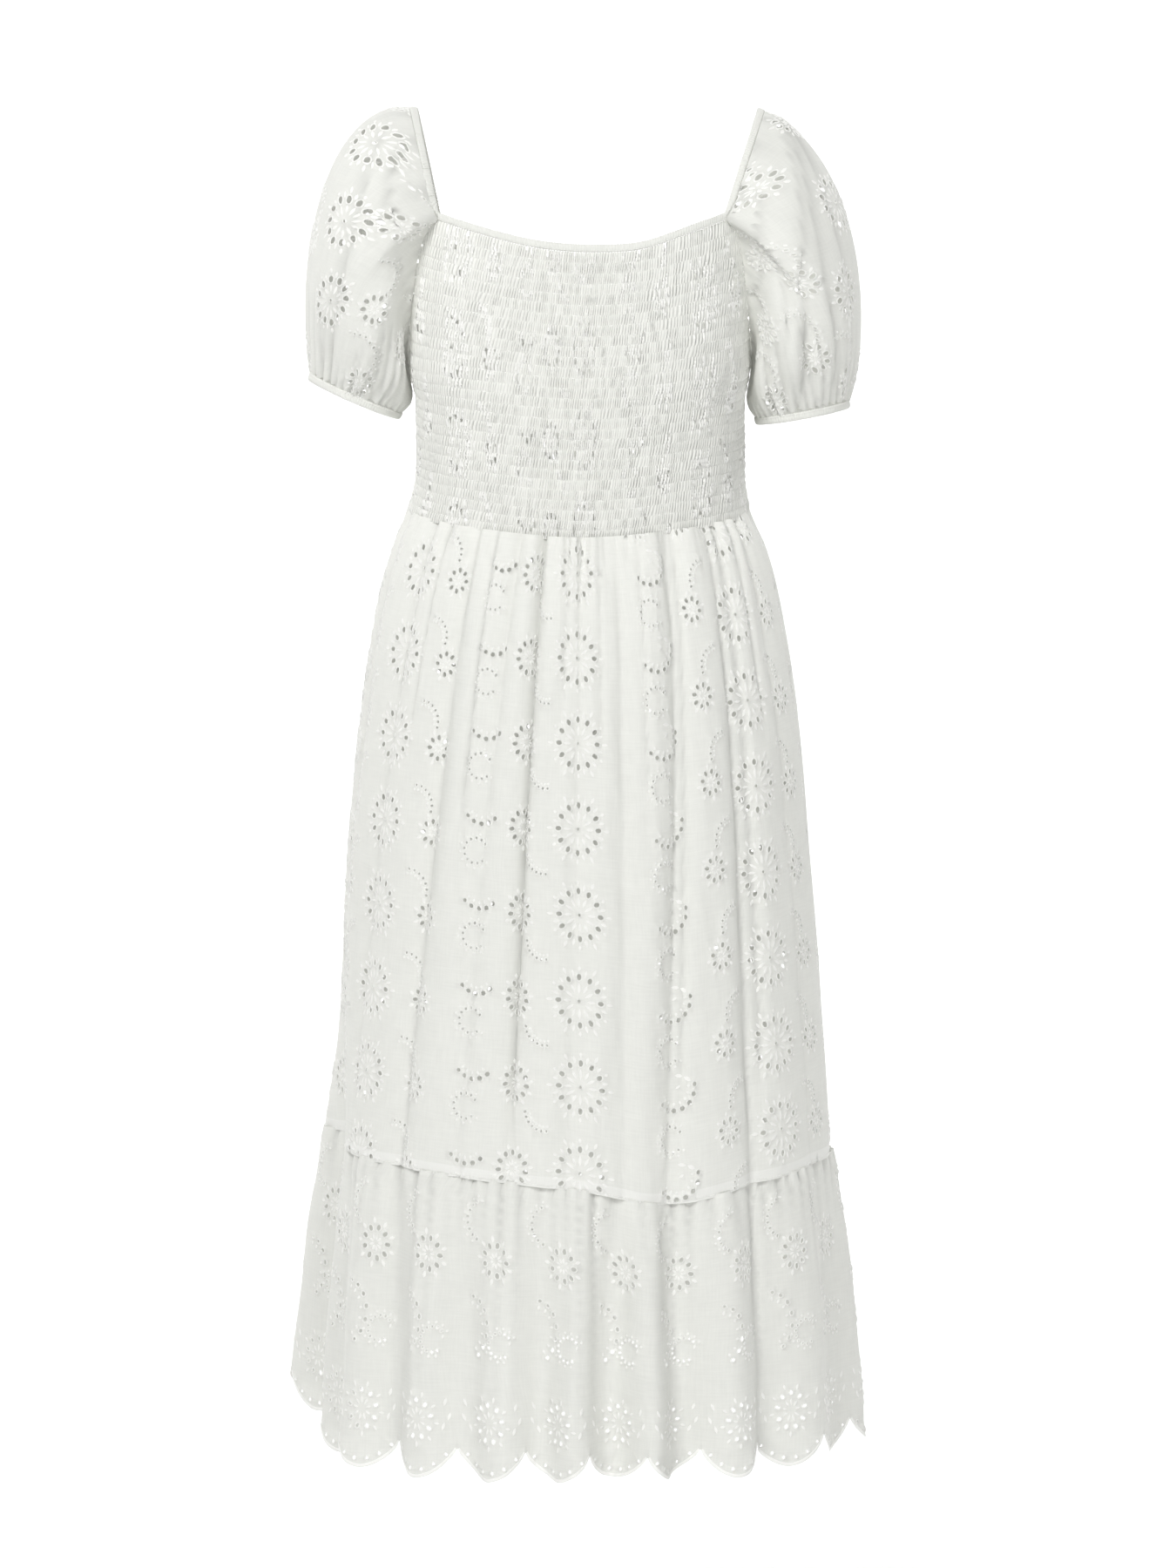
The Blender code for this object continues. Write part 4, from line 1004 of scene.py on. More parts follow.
def repeat_tile():
    """One repeat of the all-over cloth, with points across it fine enough to fold."""
    across, down = 124, 8
    xs = ROW_MIDDLE[0, 0] + REPEAT_WIDTH_MM * np.arange(across + 1) / across
    middle = np.interp(xs, ROW_MIDDLE[:, 0], ROW_MIDDLE[:, 1])
    ys = REPEAT_HEIGHT_MM * (np.arange(down + 1) / down - 0.5)
    outline = [(x, y + ys[0]) for x, y in zip(xs, middle)]
    outline += [(xs[-1], y + middle[-1]) for y in ys[1:]]
    outline += [(x, y + ys[-1]) for x, y in zip(xs[-2::-1], middle[-2::-1])]
    outline += [(xs[0], y + middle[0]) for y in ys[-2:0:-1]]
    step = xs[1] - xs[0]
    grid = [
        (xs[i] + step * 0.5 * (j % 2), ys[j] + middle[i])
        for i in range(1, across) for j in range(1, down)
        if xs[i] + step * 0.5 * (j % 2) < xs[-1] - 1.0
    ]
    return flat_tile(repeat_motifs(), outline, grid)


def all_over_cloth(shift):
    """The repeated cloth behind a panel, its main rosette at the shift from the panel's top left corner."""
    step_right, step_down = (REPEAT_WIDTH_MM, REPEAT_STEP_MM), (0.0, REPEAT_HEIGHT_MM)
    flat, lifts, triangles, satin = repeated(
        repeat_tile(), REPEAT_ROWS, REPEAT_COLUMNS, step_right, step_down
    )
    return flat + np.array(shift), lifts, triangles, satin


def repeated(tile, rows, columns, step_right, step_down):
    """Copies of a tile joined along their shared edges."""
    flat, lifts, triangles, satin = tile
    all_flat, all_lifts, all_triangles, all_satin = [], [], [], []
    for i in columns:
        for j in rows:
            all_triangles.append(triangles + len(flat) * len(all_flat))
            all_flat.append(flat + np.array(step_right) * i + np.array(step_down) * j)
            all_lifts.append(lifts)
            all_satin.append(satin)
    flat, lifts = np.concatenate(all_flat), np.concatenate(all_lifts)
    triangles, satin = np.concatenate(all_triangles), np.concatenate(all_satin)
    keys = np.round(flat * 50.0).astype(np.int64)
    _, first, back = np.unique(keys, axis=0, return_index=True, return_inverse=True)
    return flat[first], lifts[first], back.reshape(-1)[triangles], satin


def twice_areas(flat, triangles):
    a, b, c = (flat[triangles[:, k]] for k in range(3))
    return (b[:, 0] - a[:, 0]) * (c[:, 1] - a[:, 1]) - (b[:, 1] - a[:, 1]) * (c[:, 0] - a[:, 0])


def used_points(faces, count):
    """The points that the faces use, out of count points, and the faces renumbered to them."""
    used = np.unique(faces)
    number = np.zeros(count, np.int64)
    number[used] = np.arange(len(used))
    return used, number[faces]


def trimmed(cloth, wide, tall, length_at=None):
    """The cloth cut to its panel: what lies past an edge goes, and what crosses it stops there."""
    flat, lifts, triangles, satin = cloth
    top = np.zeros(len(flat)) if length_at is None else tall - length_at(np.clip(flat[:, 0], 0.0, wide))
    beyond = [flat[:, 0] <= 0.0, flat[:, 0] >= wide, flat[:, 1] <= top, flat[:, 1] >= tall]
    gone = np.zeros(len(triangles), bool)
    for side in beyond:
        gone |= side[triangles].all(axis=1)
    flat = np.stack([np.clip(flat[:, 0], 0.0, wide), np.clip(flat[:, 1], top, tall)], axis=1)
    lifts = np.where(np.any(beyond, axis=0), 0.0, lifts)
    keep = ~gone & (np.abs(twice_areas(flat, triangles)) > 1e-4)
    used, triangles = used_points(triangles[keep], len(flat))
    return flat[used], lifts[used], triangles, satin[keep]


def ring_angles(point_at, first, last, downs, shares):
    """For each height, the angle at which each share of the cloth's width lies along the folded ring."""
    samples = 1441
    angles = np.linspace(first, last, samples)
    table = []
    for down in downs:
        along = running_total(step_lengths(point_at(angles, np.full(samples, down))))
        table.append(np.interp(shares, along / along[-1], angles))
    return np.array(table)


def looked_up(table, rows, columns, row, column):
    """Values between the points of a regular table."""
    r = np.clip(row, 0.0, 1.0) * (rows - 1)
    c = np.clip(column, 0.0, 1.0) * (columns - 1)
    i, j = np.minimum(r.astype(int), rows - 2), np.minimum(c.astype(int), columns - 2)
    s, t = r - i, c - j
    return (
        table[i, j] * (1 - s) * (1 - t) + table[i + 1, j] * s * (1 - t)
        + table[i, j + 1] * (1 - s) * t + table[i + 1, j + 1] * s * t
    )


def point_normals(points, triangles):
    """Normals at the points, from the faces round them."""
    a, b, c = (points[triangles[:, k]] for k in range(3))
    face = np.cross(b - a, c - a)
    normals = np.zeros_like(points)
    for k in range(3):
        np.add.at(normals, triangles[:, k], face)
    return unit(normals)


def cloth_object(name, points, triangles, satin, uv, materials, shade=None):
    """A mesh of cloth whose satin stitches have their own material, with its flat size as its map."""
    mesh = bpy.data.meshes.new(name)
    mesh.from_pydata(points.tolist(), [], triangles.tolist())
    mesh.materials.append(materials[0])
    mesh.materials.append(materials[1])
    mesh.polygons.foreach_set("material_index", satin.astype(np.int32))
    layer = mesh.uv_layers.new(name="flat_cloth")
    corner = np.zeros(len(mesh.loops), np.int32)
    mesh.loops.foreach_get("vertex_index", corner)
    layer.data.foreach_set("uv", uv[corner].astype(np.float32).ravel())
    # Painted shade per point: it darkens the cloth's colour in its creases and gathers, and lightens it where
    # it is below zero.
    if shade is not None:
        painted_shade = mesh.attributes.new("painted_shade", "FLOAT", "POINT")
        painted_shade.data.foreach_set("value", np.asarray(shade, np.float32))
    mesh.shade_smooth()
    mesh.validate()
    obj = bpy.data.objects.new(name, mesh)
    bpy.context.scene.collection.objects.link(obj)
    return obj


def new_group(name, kind, inputs, outputs):
    """A node group with its named sockets, and its two end nodes."""
    group = bpy.data.node_groups.new(name, kind)
    for way, sockets in (("INPUT", inputs), ("OUTPUT", outputs)):
        for label, socket_kind, *default in sockets:
            socket = group.interface.new_socket(name=label, in_out=way, socket_type=socket_kind)
            if default:
                socket.default_value = default[0]
    return group, group.nodes.new("NodeGroupInput"), group.nodes.new("NodeGroupOutput")


def flat_cloth_map(nodes):
    uv = nodes.new("ShaderNodeUVMap")
    uv.uv_map = "flat_cloth"
    return uv


def weave_group():
    """Woven threads, slubs and painted shade of a fine cotton, from the cloth's flat size."""
    group = bpy.data.node_groups.get("fine_weave")
    if group:
        return group
    group, start, end = new_group("fine_weave", "ShaderNodeTree", (
        ("Colour", "NodeSocketColor", (0.8, 0.8, 0.77, 1.0)),
        ("Threads per metre", "NodeSocketFloat", 2600.0),
        ("Slub", "NodeSocketFloat", 0.035),
        ("Bump", "NodeSocketFloat", 0.35),
        ("Double from", "NodeSocketFloat", NOT_DOUBLED),
        ("Hollow shade", "NodeSocketFloat", 0.30),
    ), (("Colour", "NodeSocketColor"), ("Normal", "NodeSocketVector")))
    nodes, links = group.nodes, group.links
    uv = flat_cloth_map(nodes)

    def stretched(scale_u, scale_v, detail):
        mapping = nodes.new("ShaderNodeMapping")
        mapping.inputs["Scale"].default_value = (scale_u, scale_v, 1.0)
        noise = nodes.new("ShaderNodeTexNoise")
        noise.inputs["Scale"].default_value = 1.0
        noise.inputs["Detail"].default_value = detail
        links.new(uv.outputs["UV"], mapping.inputs["Vector"])
        links.new(mapping.outputs["Vector"], noise.inputs["Vector"])
        return noise.outputs["Fac"]

    def maths(operation, a, b):
        node = nodes.new("ShaderNodeMath")
        node.operation = operation
        for socket, value in zip(node.inputs, (a, b)):
            if hasattr(value, "is_linked"):
                links.new(value, socket)
            else:
                socket.default_value = value
        return node.outputs[0]

    across, up, cloud = stretched(45.0, 620.0, 1.0), stretched(620.0, 45.0, 1.0), stretched(60.0, 60.0, 2.0)
    slubs = maths("ADD", maths("MULTIPLY", across, 0.5), maths("MULTIPLY", up, 0.5))
    mixed = maths("ADD", maths("MULTIPLY", slubs, 0.75), maths("MULTIPLY", cloud, 0.25))
    centred = maths("SUBTRACT", mixed, 0.5)
    shade = maths("ADD", maths("MULTIPLY", centred, maths("MULTIPLY", start.outputs["Slub"], 4.0)), 1.0)
    tint = nodes.new("ShaderNodeMix")
    tint.data_type = "RGBA"
    tint.blend_type = "MULTIPLY"
    tint.inputs["Factor"].default_value = 1.0
    # Painted shade: the point's shade attribute darkens the colour in place of the shade that falls in
    # creases and gathers.
    painted_shade = nodes.new("ShaderNodeAttribute")
    painted_shade.attribute_name = "painted_shade"
    darker = maths("MULTIPLY", painted_shade.outputs["Fac"], start.outputs["Hollow shade"])
    shade = maths("MULTIPLY", shade, maths("SUBTRACT", 1.0, darker))
    grey = nodes.new("ShaderNodeCombineColor")
    for name in ("Red", "Green", "Blue"):
        links.new(shade, grey.inputs[name])
    links.new(start.outputs["Colour"], tint.inputs["A"])
    links.new(grey.outputs["Color"], tint.inputs["B"])
    split = nodes.new("ShaderNodeSeparateXYZ")
    links.new(uv.outputs["UV"], split.inputs["Vector"])
    double = nodes.new("ShaderNodeMix")
    double.data_type = "RGBA"
    double.inputs["B"].default_value = (0.95, 0.95, 0.93, 1.0)
    layers = maths("GREATER_THAN", split.outputs["Y"], start.outputs["Double from"])
    links.new(maths("MULTIPLY", layers, 0.32), double.inputs["Factor"])
    links.new(tint.outputs["Result"], double.inputs["A"])
    links.new(double.outputs["Result"], end.inputs["Colour"])
    threads = []
    for name in ("X", "Y"):
        passed = maths("MULTIPLY", split.outputs[name], start.outputs["Threads per metre"])
        threads.append(maths("SINE", maths("MULTIPLY", passed, 6.2832), 0.0))
    weave = maths("MULTIPLY", threads[0], threads[1])
    height = maths("ADD", maths("MULTIPLY", weave, 0.25), maths("MULTIPLY", slubs, 1.5))
    bump = nodes.new("ShaderNodeBump")
    bump.inputs["Distance"].default_value = 0.0004
    links.new(start.outputs["Bump"], bump.inputs["Strength"])
    links.new(height, bump.inputs["Height"])
    links.new(bump.outputs["Normal"], end.inputs["Normal"])
    return group


def satin_group():
    """The lie of satin stitches: fine raised threads side by side, uneven as machine sewn."""
    group = bpy.data.node_groups.get("satin_threads")
    if group:
        return group
    group, start, end = new_group(
        "satin_threads", "ShaderNodeTree",
        (("Bump", "NodeSocketFloat", 0.5),), (("Normal", "NodeSocketVector"),),
    )
    nodes, links = group.nodes, group.links
    uv = flat_cloth_map(nodes)
    wave = nodes.new("ShaderNodeTexWave")
    wave.inputs["Scale"].default_value = 900.0
    wave.inputs["Distortion"].default_value = 9.0
    wave.inputs["Detail"].default_value = 1.0
    wave.inputs["Detail Scale"].default_value = 0.6
    bump = nodes.new("ShaderNodeBump")
    bump.inputs["Distance"].default_value = 0.0003
    links.new(uv.outputs["UV"], wave.inputs["Vector"])
    links.new(wave.outputs["Fac"], bump.inputs["Height"])
    links.new(start.outputs["Bump"], bump.inputs["Strength"])
    links.new(bump.outputs["Normal"], end.inputs["Normal"])
    return group


def let_light_through(material, share, colour, colour_from=None, normal_from=None):
    """Let a share of the light pass through the thin cloth, as real lawn does."""
    nodes, links = material.node_tree.nodes, material.node_tree.links
    through = nodes.new("ShaderNodeBsdfTranslucent")
    through.inputs["Color"].default_value = (*colour, 1.0)
    if colour_from:
        links.new(colour_from, through.inputs["Color"])
    if normal_from:
        links.new(normal_from, through.inputs["Normal"])
    both = nodes.new("ShaderNodeMixShader")
    both.inputs["Fac"].default_value = share
    links.new(nodes["Principled BSDF"].outputs["BSDF"], both.inputs[1])
    links.new(through.outputs["BSDF"], both.inputs[2])
    links.new(both.outputs["Shader"], nodes["Material Output"].inputs["Surface"])


def new_material(name):
    """A material, its nodes, its links and its shader."""
    material = bpy.data.materials.new(name)
    material.use_nodes = True
    nodes = material.node_tree.nodes
    return material, nodes, material.node_tree.links, nodes["Principled BSDF"]


def set_values(node, values):
    for name, value in values.items():
        node.inputs[name].default_value = value


def cotton_material(name, colour, slub, bump, double_from=NOT_DOUBLED, painted_shade=0.16):
    """Woven cotton."""
    material = bpy.data.materials.get(name)
    if material:
        return material
    material, nodes, links, shader = new_material(name)
    weave = nodes.new("ShaderNodeGroup")
    weave.node_tree = weave_group()
    set_values(weave, {
        "Colour": (*colour, 1.0),
        "Slub": slub,
        "Bump": bump,
        "Double from": double_from,
        "Hollow shade": painted_shade,
    })
    links.new(weave.outputs["Colour"], shader.inputs["Base Color"])
    links.new(weave.outputs["Normal"], shader.inputs["Normal"])
    set_values(shader, {
        "Roughness": 0.82,
        "Specular IOR Level": 0.25,
        "Sheen Weight": 0.15,
        "Sheen Roughness": 0.5,
    })
    let_light_through(material, 0.11, colour, weave.outputs["Colour"], weave.outputs["Normal"])
    return material


def thread_material():
    """Mercerised embroidery thread."""
    material = bpy.data.materials.get("satin_stitch")
    if material:
        return material
    material, nodes, links, shader = new_material("satin_stitch")
    satin = nodes.new("ShaderNodeGroup")
    satin.node_tree = satin_group()
    satin.inputs["Bump"].default_value = 0.45
    links.new(satin.outputs["Normal"], shader.inputs["Normal"])
    set_values(shader, {
        "Base Color": (*colours().thread, 1.0),
        "Roughness": 0.55,
        "Specular IOR Level": 0.3,
        "Sheen Weight": 0.1,
    })
    let_light_through(material, 0.10, tuple(colours().thread), None, satin.outputs["Normal"])
    return material


def cotton_colour(share=1.0):
    return tuple(share * value for value in colours().cotton)


def lawn():
    return cotton_material("eyelet_lawn", cotton_colour(), 0.055, 0.30, painted_shade=0.22)


def skirt_lawn():
    """The same lawn, lighter along its lower edge where the seam's turned-up cloth lies behind it."""
    return cotton_material("skirt_lawn", cotton_colour(), 0.055, 0.30, double_from=0.575, painted_shade=0.22)


# A lighter copy of the cotton: painted light that balances the stronger painted shade of its puffs.
def shirred_lawn():
    return cotton_material("shirred_lawn", cotton_colour(1.10), 0.03, 0.25, painted_shade=0.44)


def casing_lawn():
    return cotton_material("casing_lawn", cotton_colour(1.05), 0.03, 0.25)


def finish_cloth(obj, node_names):
    """Hang the piece on the root and hide the solids that it stands for."""
    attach(obj, "root")
    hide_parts(*node_names)


def outward_cloth(points, triangles, lifts, away):
    """The points with their stitches raised, and the triangles turned to face away."""
    normals = point_normals(points, triangles)
    if np.mean(np.sum(normals * away, axis=1)) < 0:
        normals = -normals
        triangles = triangles[:, ::-1]
    return points + normals * (lifts * sizes().stitch_relief)[:, None], triangles


def lay_panel(name, cloth, wide_mm, tall_mm, point_at, shade_at, back, material):
    """Lay flat panel cloth on its folded ring, and raise its stitches."""
    flat, lifts, triangles, satin = cloth
    rows, columns = 49, 1201
    first, last = (-90.0, 90.0) if back else (90.0, 270.0)
    downs = np.linspace(0.0, TABLE_REACH, rows)
    table = ring_angles(point_at, first, last, downs, np.linspace(0.0, 1.0, columns))
    down = flat[:, 1] / tall_mm
    angle = looked_up(table, rows, columns, down / TABLE_REACH, flat[:, 0] / wide_mm)
    points = point_at(angle, down)
    points, triangles = outward_cloth(points, triangles, lifts, points * LEVEL_PART)
    # Painted shade for the cloth's colour, from the piece's own shade function.
    shade = shade_at(angle, down)
    return cloth_object(name, points, triangles, satin, flat * MM, (material, thread_material()), shade)


class DRESS_OT_skirt(bpy.types.Operator):
    """Lay the embroidered skirt panels in their folds under the waist seam"""

    bl_idname = "dress.make_skirt"
    bl_label = "Make skirt"

    def execute(self, context):
        wide = sizes().skirt_cloth / MM
        for name, back in (("skirt_back", True), ("skirt_front", False)):
            cloth = trimmed(all_over_cloth(SKIRT_SHIFTS_MM[name]), wide, SKIRT_MM)
            piece = lay_panel(
                f"eyelet_{name}", cloth, wide, SKIRT_MM, skirt_point, skirt_shade, back, skirt_lawn()
            )
            finish_cloth(piece, [name])
        return {"FINISHED"}


def scallop_tile(pitch):
    """The flounce's embroidered cloth over one scallop, as wide as the scallop."""
    across, down = 20, 24
    xs = np.linspace(-pitch / 2, pitch / 2, across + 1)
    ys = VALLEY_MM * np.linspace(0.0, 1.0, down + 1)
    bottom = [(x, scallop_edge(x, pitch)) for x in np.linspace(pitch / 2, -pitch / 2, 25)]
    outline = [(x, 0.0) for x in xs] + [(pitch / 2, y) for y in ys[1:-1]] + bottom
    outline += [(-pitch / 2, y) for y in ys[-2:0:-1]]
    grid = [
        (x, y + (ys[1] - ys[0]) * 0.5 * (i % 2))
        for i, x in enumerate(xs[1:-1]) for y in ys[1:-1]
        if y + 4.4 < scallop_edge(x, pitch) - 6.0
    ]
    work = border_motifs(pitch)
    half = pitch / 2 * 0.97
    work.band([(x, scallop_edge(x, pitch * 0.985) - 1.7) for x in np.linspace(-half, half, 25)], 2.2)
    return flat_tile(work, outline, grid)


class DRESS_OT_flounce(bpy.types.Operator):
    """Lay the scalloped flounce panels in their waves under the skirt"""

    bl_idname = "dress.make_flounce"
    bl_label = "Make flounce"

    def execute(self, context):
        pitch = sizes().scallop_pitch / MM
        count = sizes().scallops
        flat, lifts, triangles, satin = scallop_tile(pitch)
        tile = (flat + np.array([pitch / 2, 0.0]), lifts, triangles, satin)
        cloth = repeated(tile, range(1), range(count), (pitch, 0.0), (0.0, 0.0))
        for name, back in (("flounce_back", True), ("flounce_front", False)):
            piece = lay_panel(
                f"scalloped_{name}", cloth, pitch * count, FLOUNCE_MM,
                flounce_point, flounce_shade, back, lawn(),
            )
            finish_cloth(piece, [name])
        return {"FINISHED"}


class DRESS_OT_bodice(bpy.types.Operator):
    """Shirr the bodice panels in rows of small gathered puffs"""

    bl_idname = "dress.make_bodice"
    bl_label = "Make bodice"

    def execute(self, context):
        puff_rows = sizes().shirring_rows
        steps = len(PUFF_STEPS)
        rows = puff_rows * steps
        columns = int(round(BODICE_GATHERED / sizes().gather_pitch)) * POINTS_PER_GATHER
        top = ARMHOLE_LEVELS[-1]
        row_height = (top - WAIST_Z) / puff_rows
        j, i = np.meshgrid(np.arange(columns + 1), np.arange(rows + 1))
        puff_row = np.minimum(i // steps, puff_rows - 1)
        within = np.where(i == rows, 1.0, PUFF_STEPS[i % steps])
        angle = np.linspace(-90.0, 90.0, columns + 1)[j]
        level = top - (puff_row + within) * row_height
        rise = np.sin(np.pi * within) ** 0.5
        lean = 0.60 + 0.35 * smooth_noise(angle / 40.0, puff_row * 0.5, 11)
        shifted = j / POINTS_PER_GATHER + lean * within + 0.9 * smooth_noise(j / 40.0, puff_row * 0.31, 5)
        shifted = shifted + 0.8 * hashed(puff_row, 3, 2)
        ridge = np.cos(2.0 * np.pi * shifted)
        gather = np.floor(shifted + 0.5)
        strength = 0.45 + 0.85 * hashed(gather, puff_row, 7)
        uneven = 0.85 + 0.15 * smooth_noise(j / 60.0, puff_row * 0.7, 9)
        height = sizes().puff_height * (0.75 * rise * uneven - 0.35)
        height = height + 0.00070 * ridge * strength * (0.50 + 0.50 * rise)
        stitch_height = (0.00036 + 0.00060 * hashed(j, i, 3)) * rise
        # Painted shade: darker in the valleys between the ridges of the shirring, and less near the elastic
        # lines.
        shade = np.clip(0.20 - 0.80 * ridge, 0.0, 1.0) * strength * (0.55 + 0.45 * rise)
        crest = (ridge > -0.25) & (hashed(gather, puff_row, 12) > 0.18)
        can_open = (ridge < 0.92) & (rise > 0.3) & (hashed(gather, puff_row, 14) > 0.04)
        sewn = (rise < 0.01) & (hashed(gather, puff_row, 21) > 0.86)
        past = np.abs(angle) > panel_reach(level) + 1e-9
        flat_u = angle / 90.0 * BODICE_HALF_FLAT
        number = i * (columns + 1) + j
        quads = np.stack(
            [number[:-1, :-1], number[:-1, 1:], number[1:, 1:], number[1:, :-1]], axis=-1
        ).reshape(-1, 4)
        for name, back in (("bodice_back", True), ("bodice_front", False)):
            motif, opened = scrunched_motifs(flat_u, top - level, back)
            motif = motif * crest
            opened = opened & can_open
            points = bodice_point(back, angle, level, height + motif * stitch_height)
            gone = past.ravel()[quads].all(axis=1) | (opened.ravel()[quads].sum(axis=1) >= 2)
            corners = quads[~gone]
            satin = (motif.ravel()[corners].mean(axis=1) > 0.45) | (sewn.ravel()[corners].sum(axis=1) >= 2)
            if back:
                corners = corners[:, ::-1]
            used, corners = used_points(corners, number.size)
            uv = np.stack([flat_u.ravel(), level.ravel()], axis=1)[used]
            piece = cloth_object(
                f"shirred_{name}", points.reshape(-1, 3)[used], corners, satin, uv,
                (shirred_lawn(), thread_material()), shade.ravel()[used],
            )
            finish_cloth(piece, [name])
        return {"FINISHED"}


def scrunched_motifs(u, v, back):
    """Where the all-over embroidery lies on shirred cloth: how satin each point is, and the open slits."""
    work = repeat_motifs()
    satin = np.zeros(u.shape)
    opened = np.zeros(u.shape, bool)
    x, y = u / MM, v / MM
    shift = 0.0 if back else 54.0
    for i in range(-2, 3):
        for j in range(-3, 8):
            left = x - (REPEAT_WIDTH_MM * i + shift)
            top = y - (REPEAT_HEIGHT_MM * j + REPEAT_STEP_MM * i)
            near = (left > -245.0) & (left < 165.0) & (top > -60.0) & (top < 90.0)
            if not near.any():
                continue
            lx, ly = left[near], top[near]
            here, hole = satin[near], opened[near]
            for cx, cy, long_half, wide_half, tilt, sides, rim in work.eyelets:
                d = np.hypot(lx - cx, ly - cy)
                hole |= d < wide_half * 0.98
                here = np.maximum(here, (d < long_half + rim + 0.5) * 1.0)
            for x0, y0, x1, y1, width in work.leaves:
                along = np.array([x1 - x0, y1 - y0])
                t = np.clip(((lx - x0) * along[0] + (ly - y0) * along[1]) / (along @ along), 0.0, 1.0)
                d = np.hypot(lx - x0 - t * along[0], ly - y0 - t * along[1])
                here = np.maximum(here, (d < width / 2 + 0.4) * 1.0)
            satin[near], opened[near] = here, hole
    return satin, opened


def lay_sleeve(hand, back):
    """Lay the flat cloth of half a sleeve between its edges, and raise its stitches."""
    rows, columns = 41, 81
    shares = np.linspace(0.0, 1.0, columns)
    downs = np.linspace(0.0, 1.0, rows)
    nodes = np.linspace(0.0, HALF_SLEEVE, columns)
    middle = sleeve_point(hand, nodes, np.full(columns, 0.55), back)
    along = running_total(step_lengths(middle) + 0.0010)
    node_of = np.interp(shares, along / along[-1], nodes)
    grid = sleeve_point(hand, node_of[:, None], downs[None, :], back)
    lengths = np.linalg.norm(np.diff(grid, axis=1), axis=2)
    reach = np.concatenate([np.zeros((columns, 1)), np.cumsum(lengths, axis=1)], axis=1)
    total = reach[:, -1] / MM
    tall = float(total.max())

    def length_at(x):
        return np.interp(x / SLEEVE_MM, shares, total)

    cloth = trimmed(sleeve_cloth(hand, SLEEVE_MM, tall), SLEEVE_MM, tall, length_at)
    flat, lifts, triangles, satin = cloth
    share = flat[:, 0] / SLEEVE_MM
    ratio = np.clip(1.0 - (tall - flat[:, 1]) / length_at(flat[:, 0]), 0.0, 1.0)
    table = np.array([np.interp(downs, reach[k] / reach[k, -1], downs) for k in range(columns)])
    down = looked_up(table, columns, rows, share, ratio)
    node = np.interp(share, shares, node_of)
    points = sleeve_point(hand, node, down, back)
    spine = np.array([CUFFS[hand][0] * 0.165, 0.0, -0.05])
    axis = spine + (cuff_frame(hand)[1] - spine) * down[:, None]
    points, triangles = outward_cloth(points, triangles, lifts, points - axis)
    where = "back" if back else "front"
    piece = cloth_object(
        f"puff_sleeve_{hand}_{where}", points, triangles, satin, flat * MM,
        (lawn(), thread_material()), sleeve_shade(hand, node, down, back),
    )
    finish_cloth(piece, [f"sleeve_{hand}_{where}"])


class DRESS_OT_sleeves(bpy.types.Operator):
    """Gather the embroidered puff sleeves between the shoulders, armholes and cuffs"""

    bl_idname = "dress.make_sleeves"
    bl_label = "Make sleeves"

    def execute(self, context):
        for hand in CUFFS:
            for back in (True, False):
                lay_sleeve(hand, back)
        return {"FINISHED"}


def ruffled_band(name, upper, ways, outwards, node_name):
    """A flat tube of casing, gathered over its elastic, along a closed line."""
    count = len(upper)
    length = loop_length(upper)
    along = np.arange(count)
    ahead = (along + 1) % count
    section_points = 10
    rings, faces = [], []
    for k in range(section_points):
        turn = 2.0 * math.pi * k / section_points
        drop = 0.5 - 0.5 * math.cos(turn)
        thick = math.sin(turn)
        gather = np.cos(2.0 * np.pi * along / POINTS_PER_GATHER + 1.3 * np.sin(along / 17.0))
        strength = 0.5 + 0.6 * hashed(along // POINTS_PER_GATHER, k // 2, 5)
        bulge = 0.0011 * np.sign(thick) * abs(thick) ** 0.6 + 0.00038 * gather * strength * thick
        edge = 0.0004 * gather * (1.0 if k in (0, section_points // 2) else 0.0) * (1.0 if k else -1.0)
        rings.append(upper + ways * (drop * CASING_WIDTH + edge[:, None]) + outwards * bulge[:, None])
        here, there = k * count, (k + 1) % section_points * count
        faces.append(np.stack([here + along, here + ahead, there + ahead, there + along], axis=1))
    points, faces = np.concatenate(rings), np.concatenate(faces)
    uv = np.stack([
        np.tile(along * length / count * 1.6, section_points),
        np.repeat(np.arange(section_points) * 0.0016, count),
    ], axis=1)
    satin = np.zeros(len(faces), bool)
    piece = cloth_object(name, points, faces, satin, uv, (casing_lawn(), thread_material()))
    fix = bmesh.new()
    fix.from_mesh(piece.data)
    bmesh.ops.recalc_face_normals(fix, faces=fix.faces)
    fix.to_mesh(piece.data)
    fix.free()
    finish_cloth(piece, [node_name])


def spread(points, other, count):
    """A closed line and what goes with it, at even steps."""
    along = running_total(step_lengths(np.concatenate([points, points[:1]])))
    even = np.linspace(0.0, along[-1], count, endpoint=False)
    made = []
    for values in (points, *other):
        values = np.concatenate([values, values[:1]])
        made.append(np.stack([np.interp(even, along, values[:, k]) for k in range(3)], axis=1))
    return made


def neck_edge():
    """The closed upper edge of the neck casing, and the way down its cloth at each point."""
    across = np.linspace(-1.0, 1.0, 241)
    swings = np.linspace(-0.985, 0.985, 161)
    downwards = np.array([0.0, 0.0, -1.0])
    edge, ways = [], []
    for back, side in ((True, 1), (False, -1)):
        panel = bodice_point(back, across * ARMHOLE_ANGLES[-1], ARMHOLE_LEVELS[-1] + 0.0 * across)
        edge.append(panel + np.array([0.0, 0.0, CASING_WIDTH + SEAM_GAP]))
        ways.append(np.repeat(downwards[None, :], len(panel), axis=0))
        order = swings if back else -swings
        edge.append(arch_point(side, order))
        nodes = np.abs(order) * ARCH_NODES
        arch_ways = np.where(
            (order < 0)[:, None], leave_direction(side, nodes, True), leave_direction(side, nodes, False)
        )
        corner = np.clip((np.abs(order) - 0.90) / 0.085, 0.0, 1.0)[:, None]
        ways.append(unit(arch_ways * (1.0 - corner) + downwards * corner))
    return np.concatenate(edge), np.concatenate(ways)


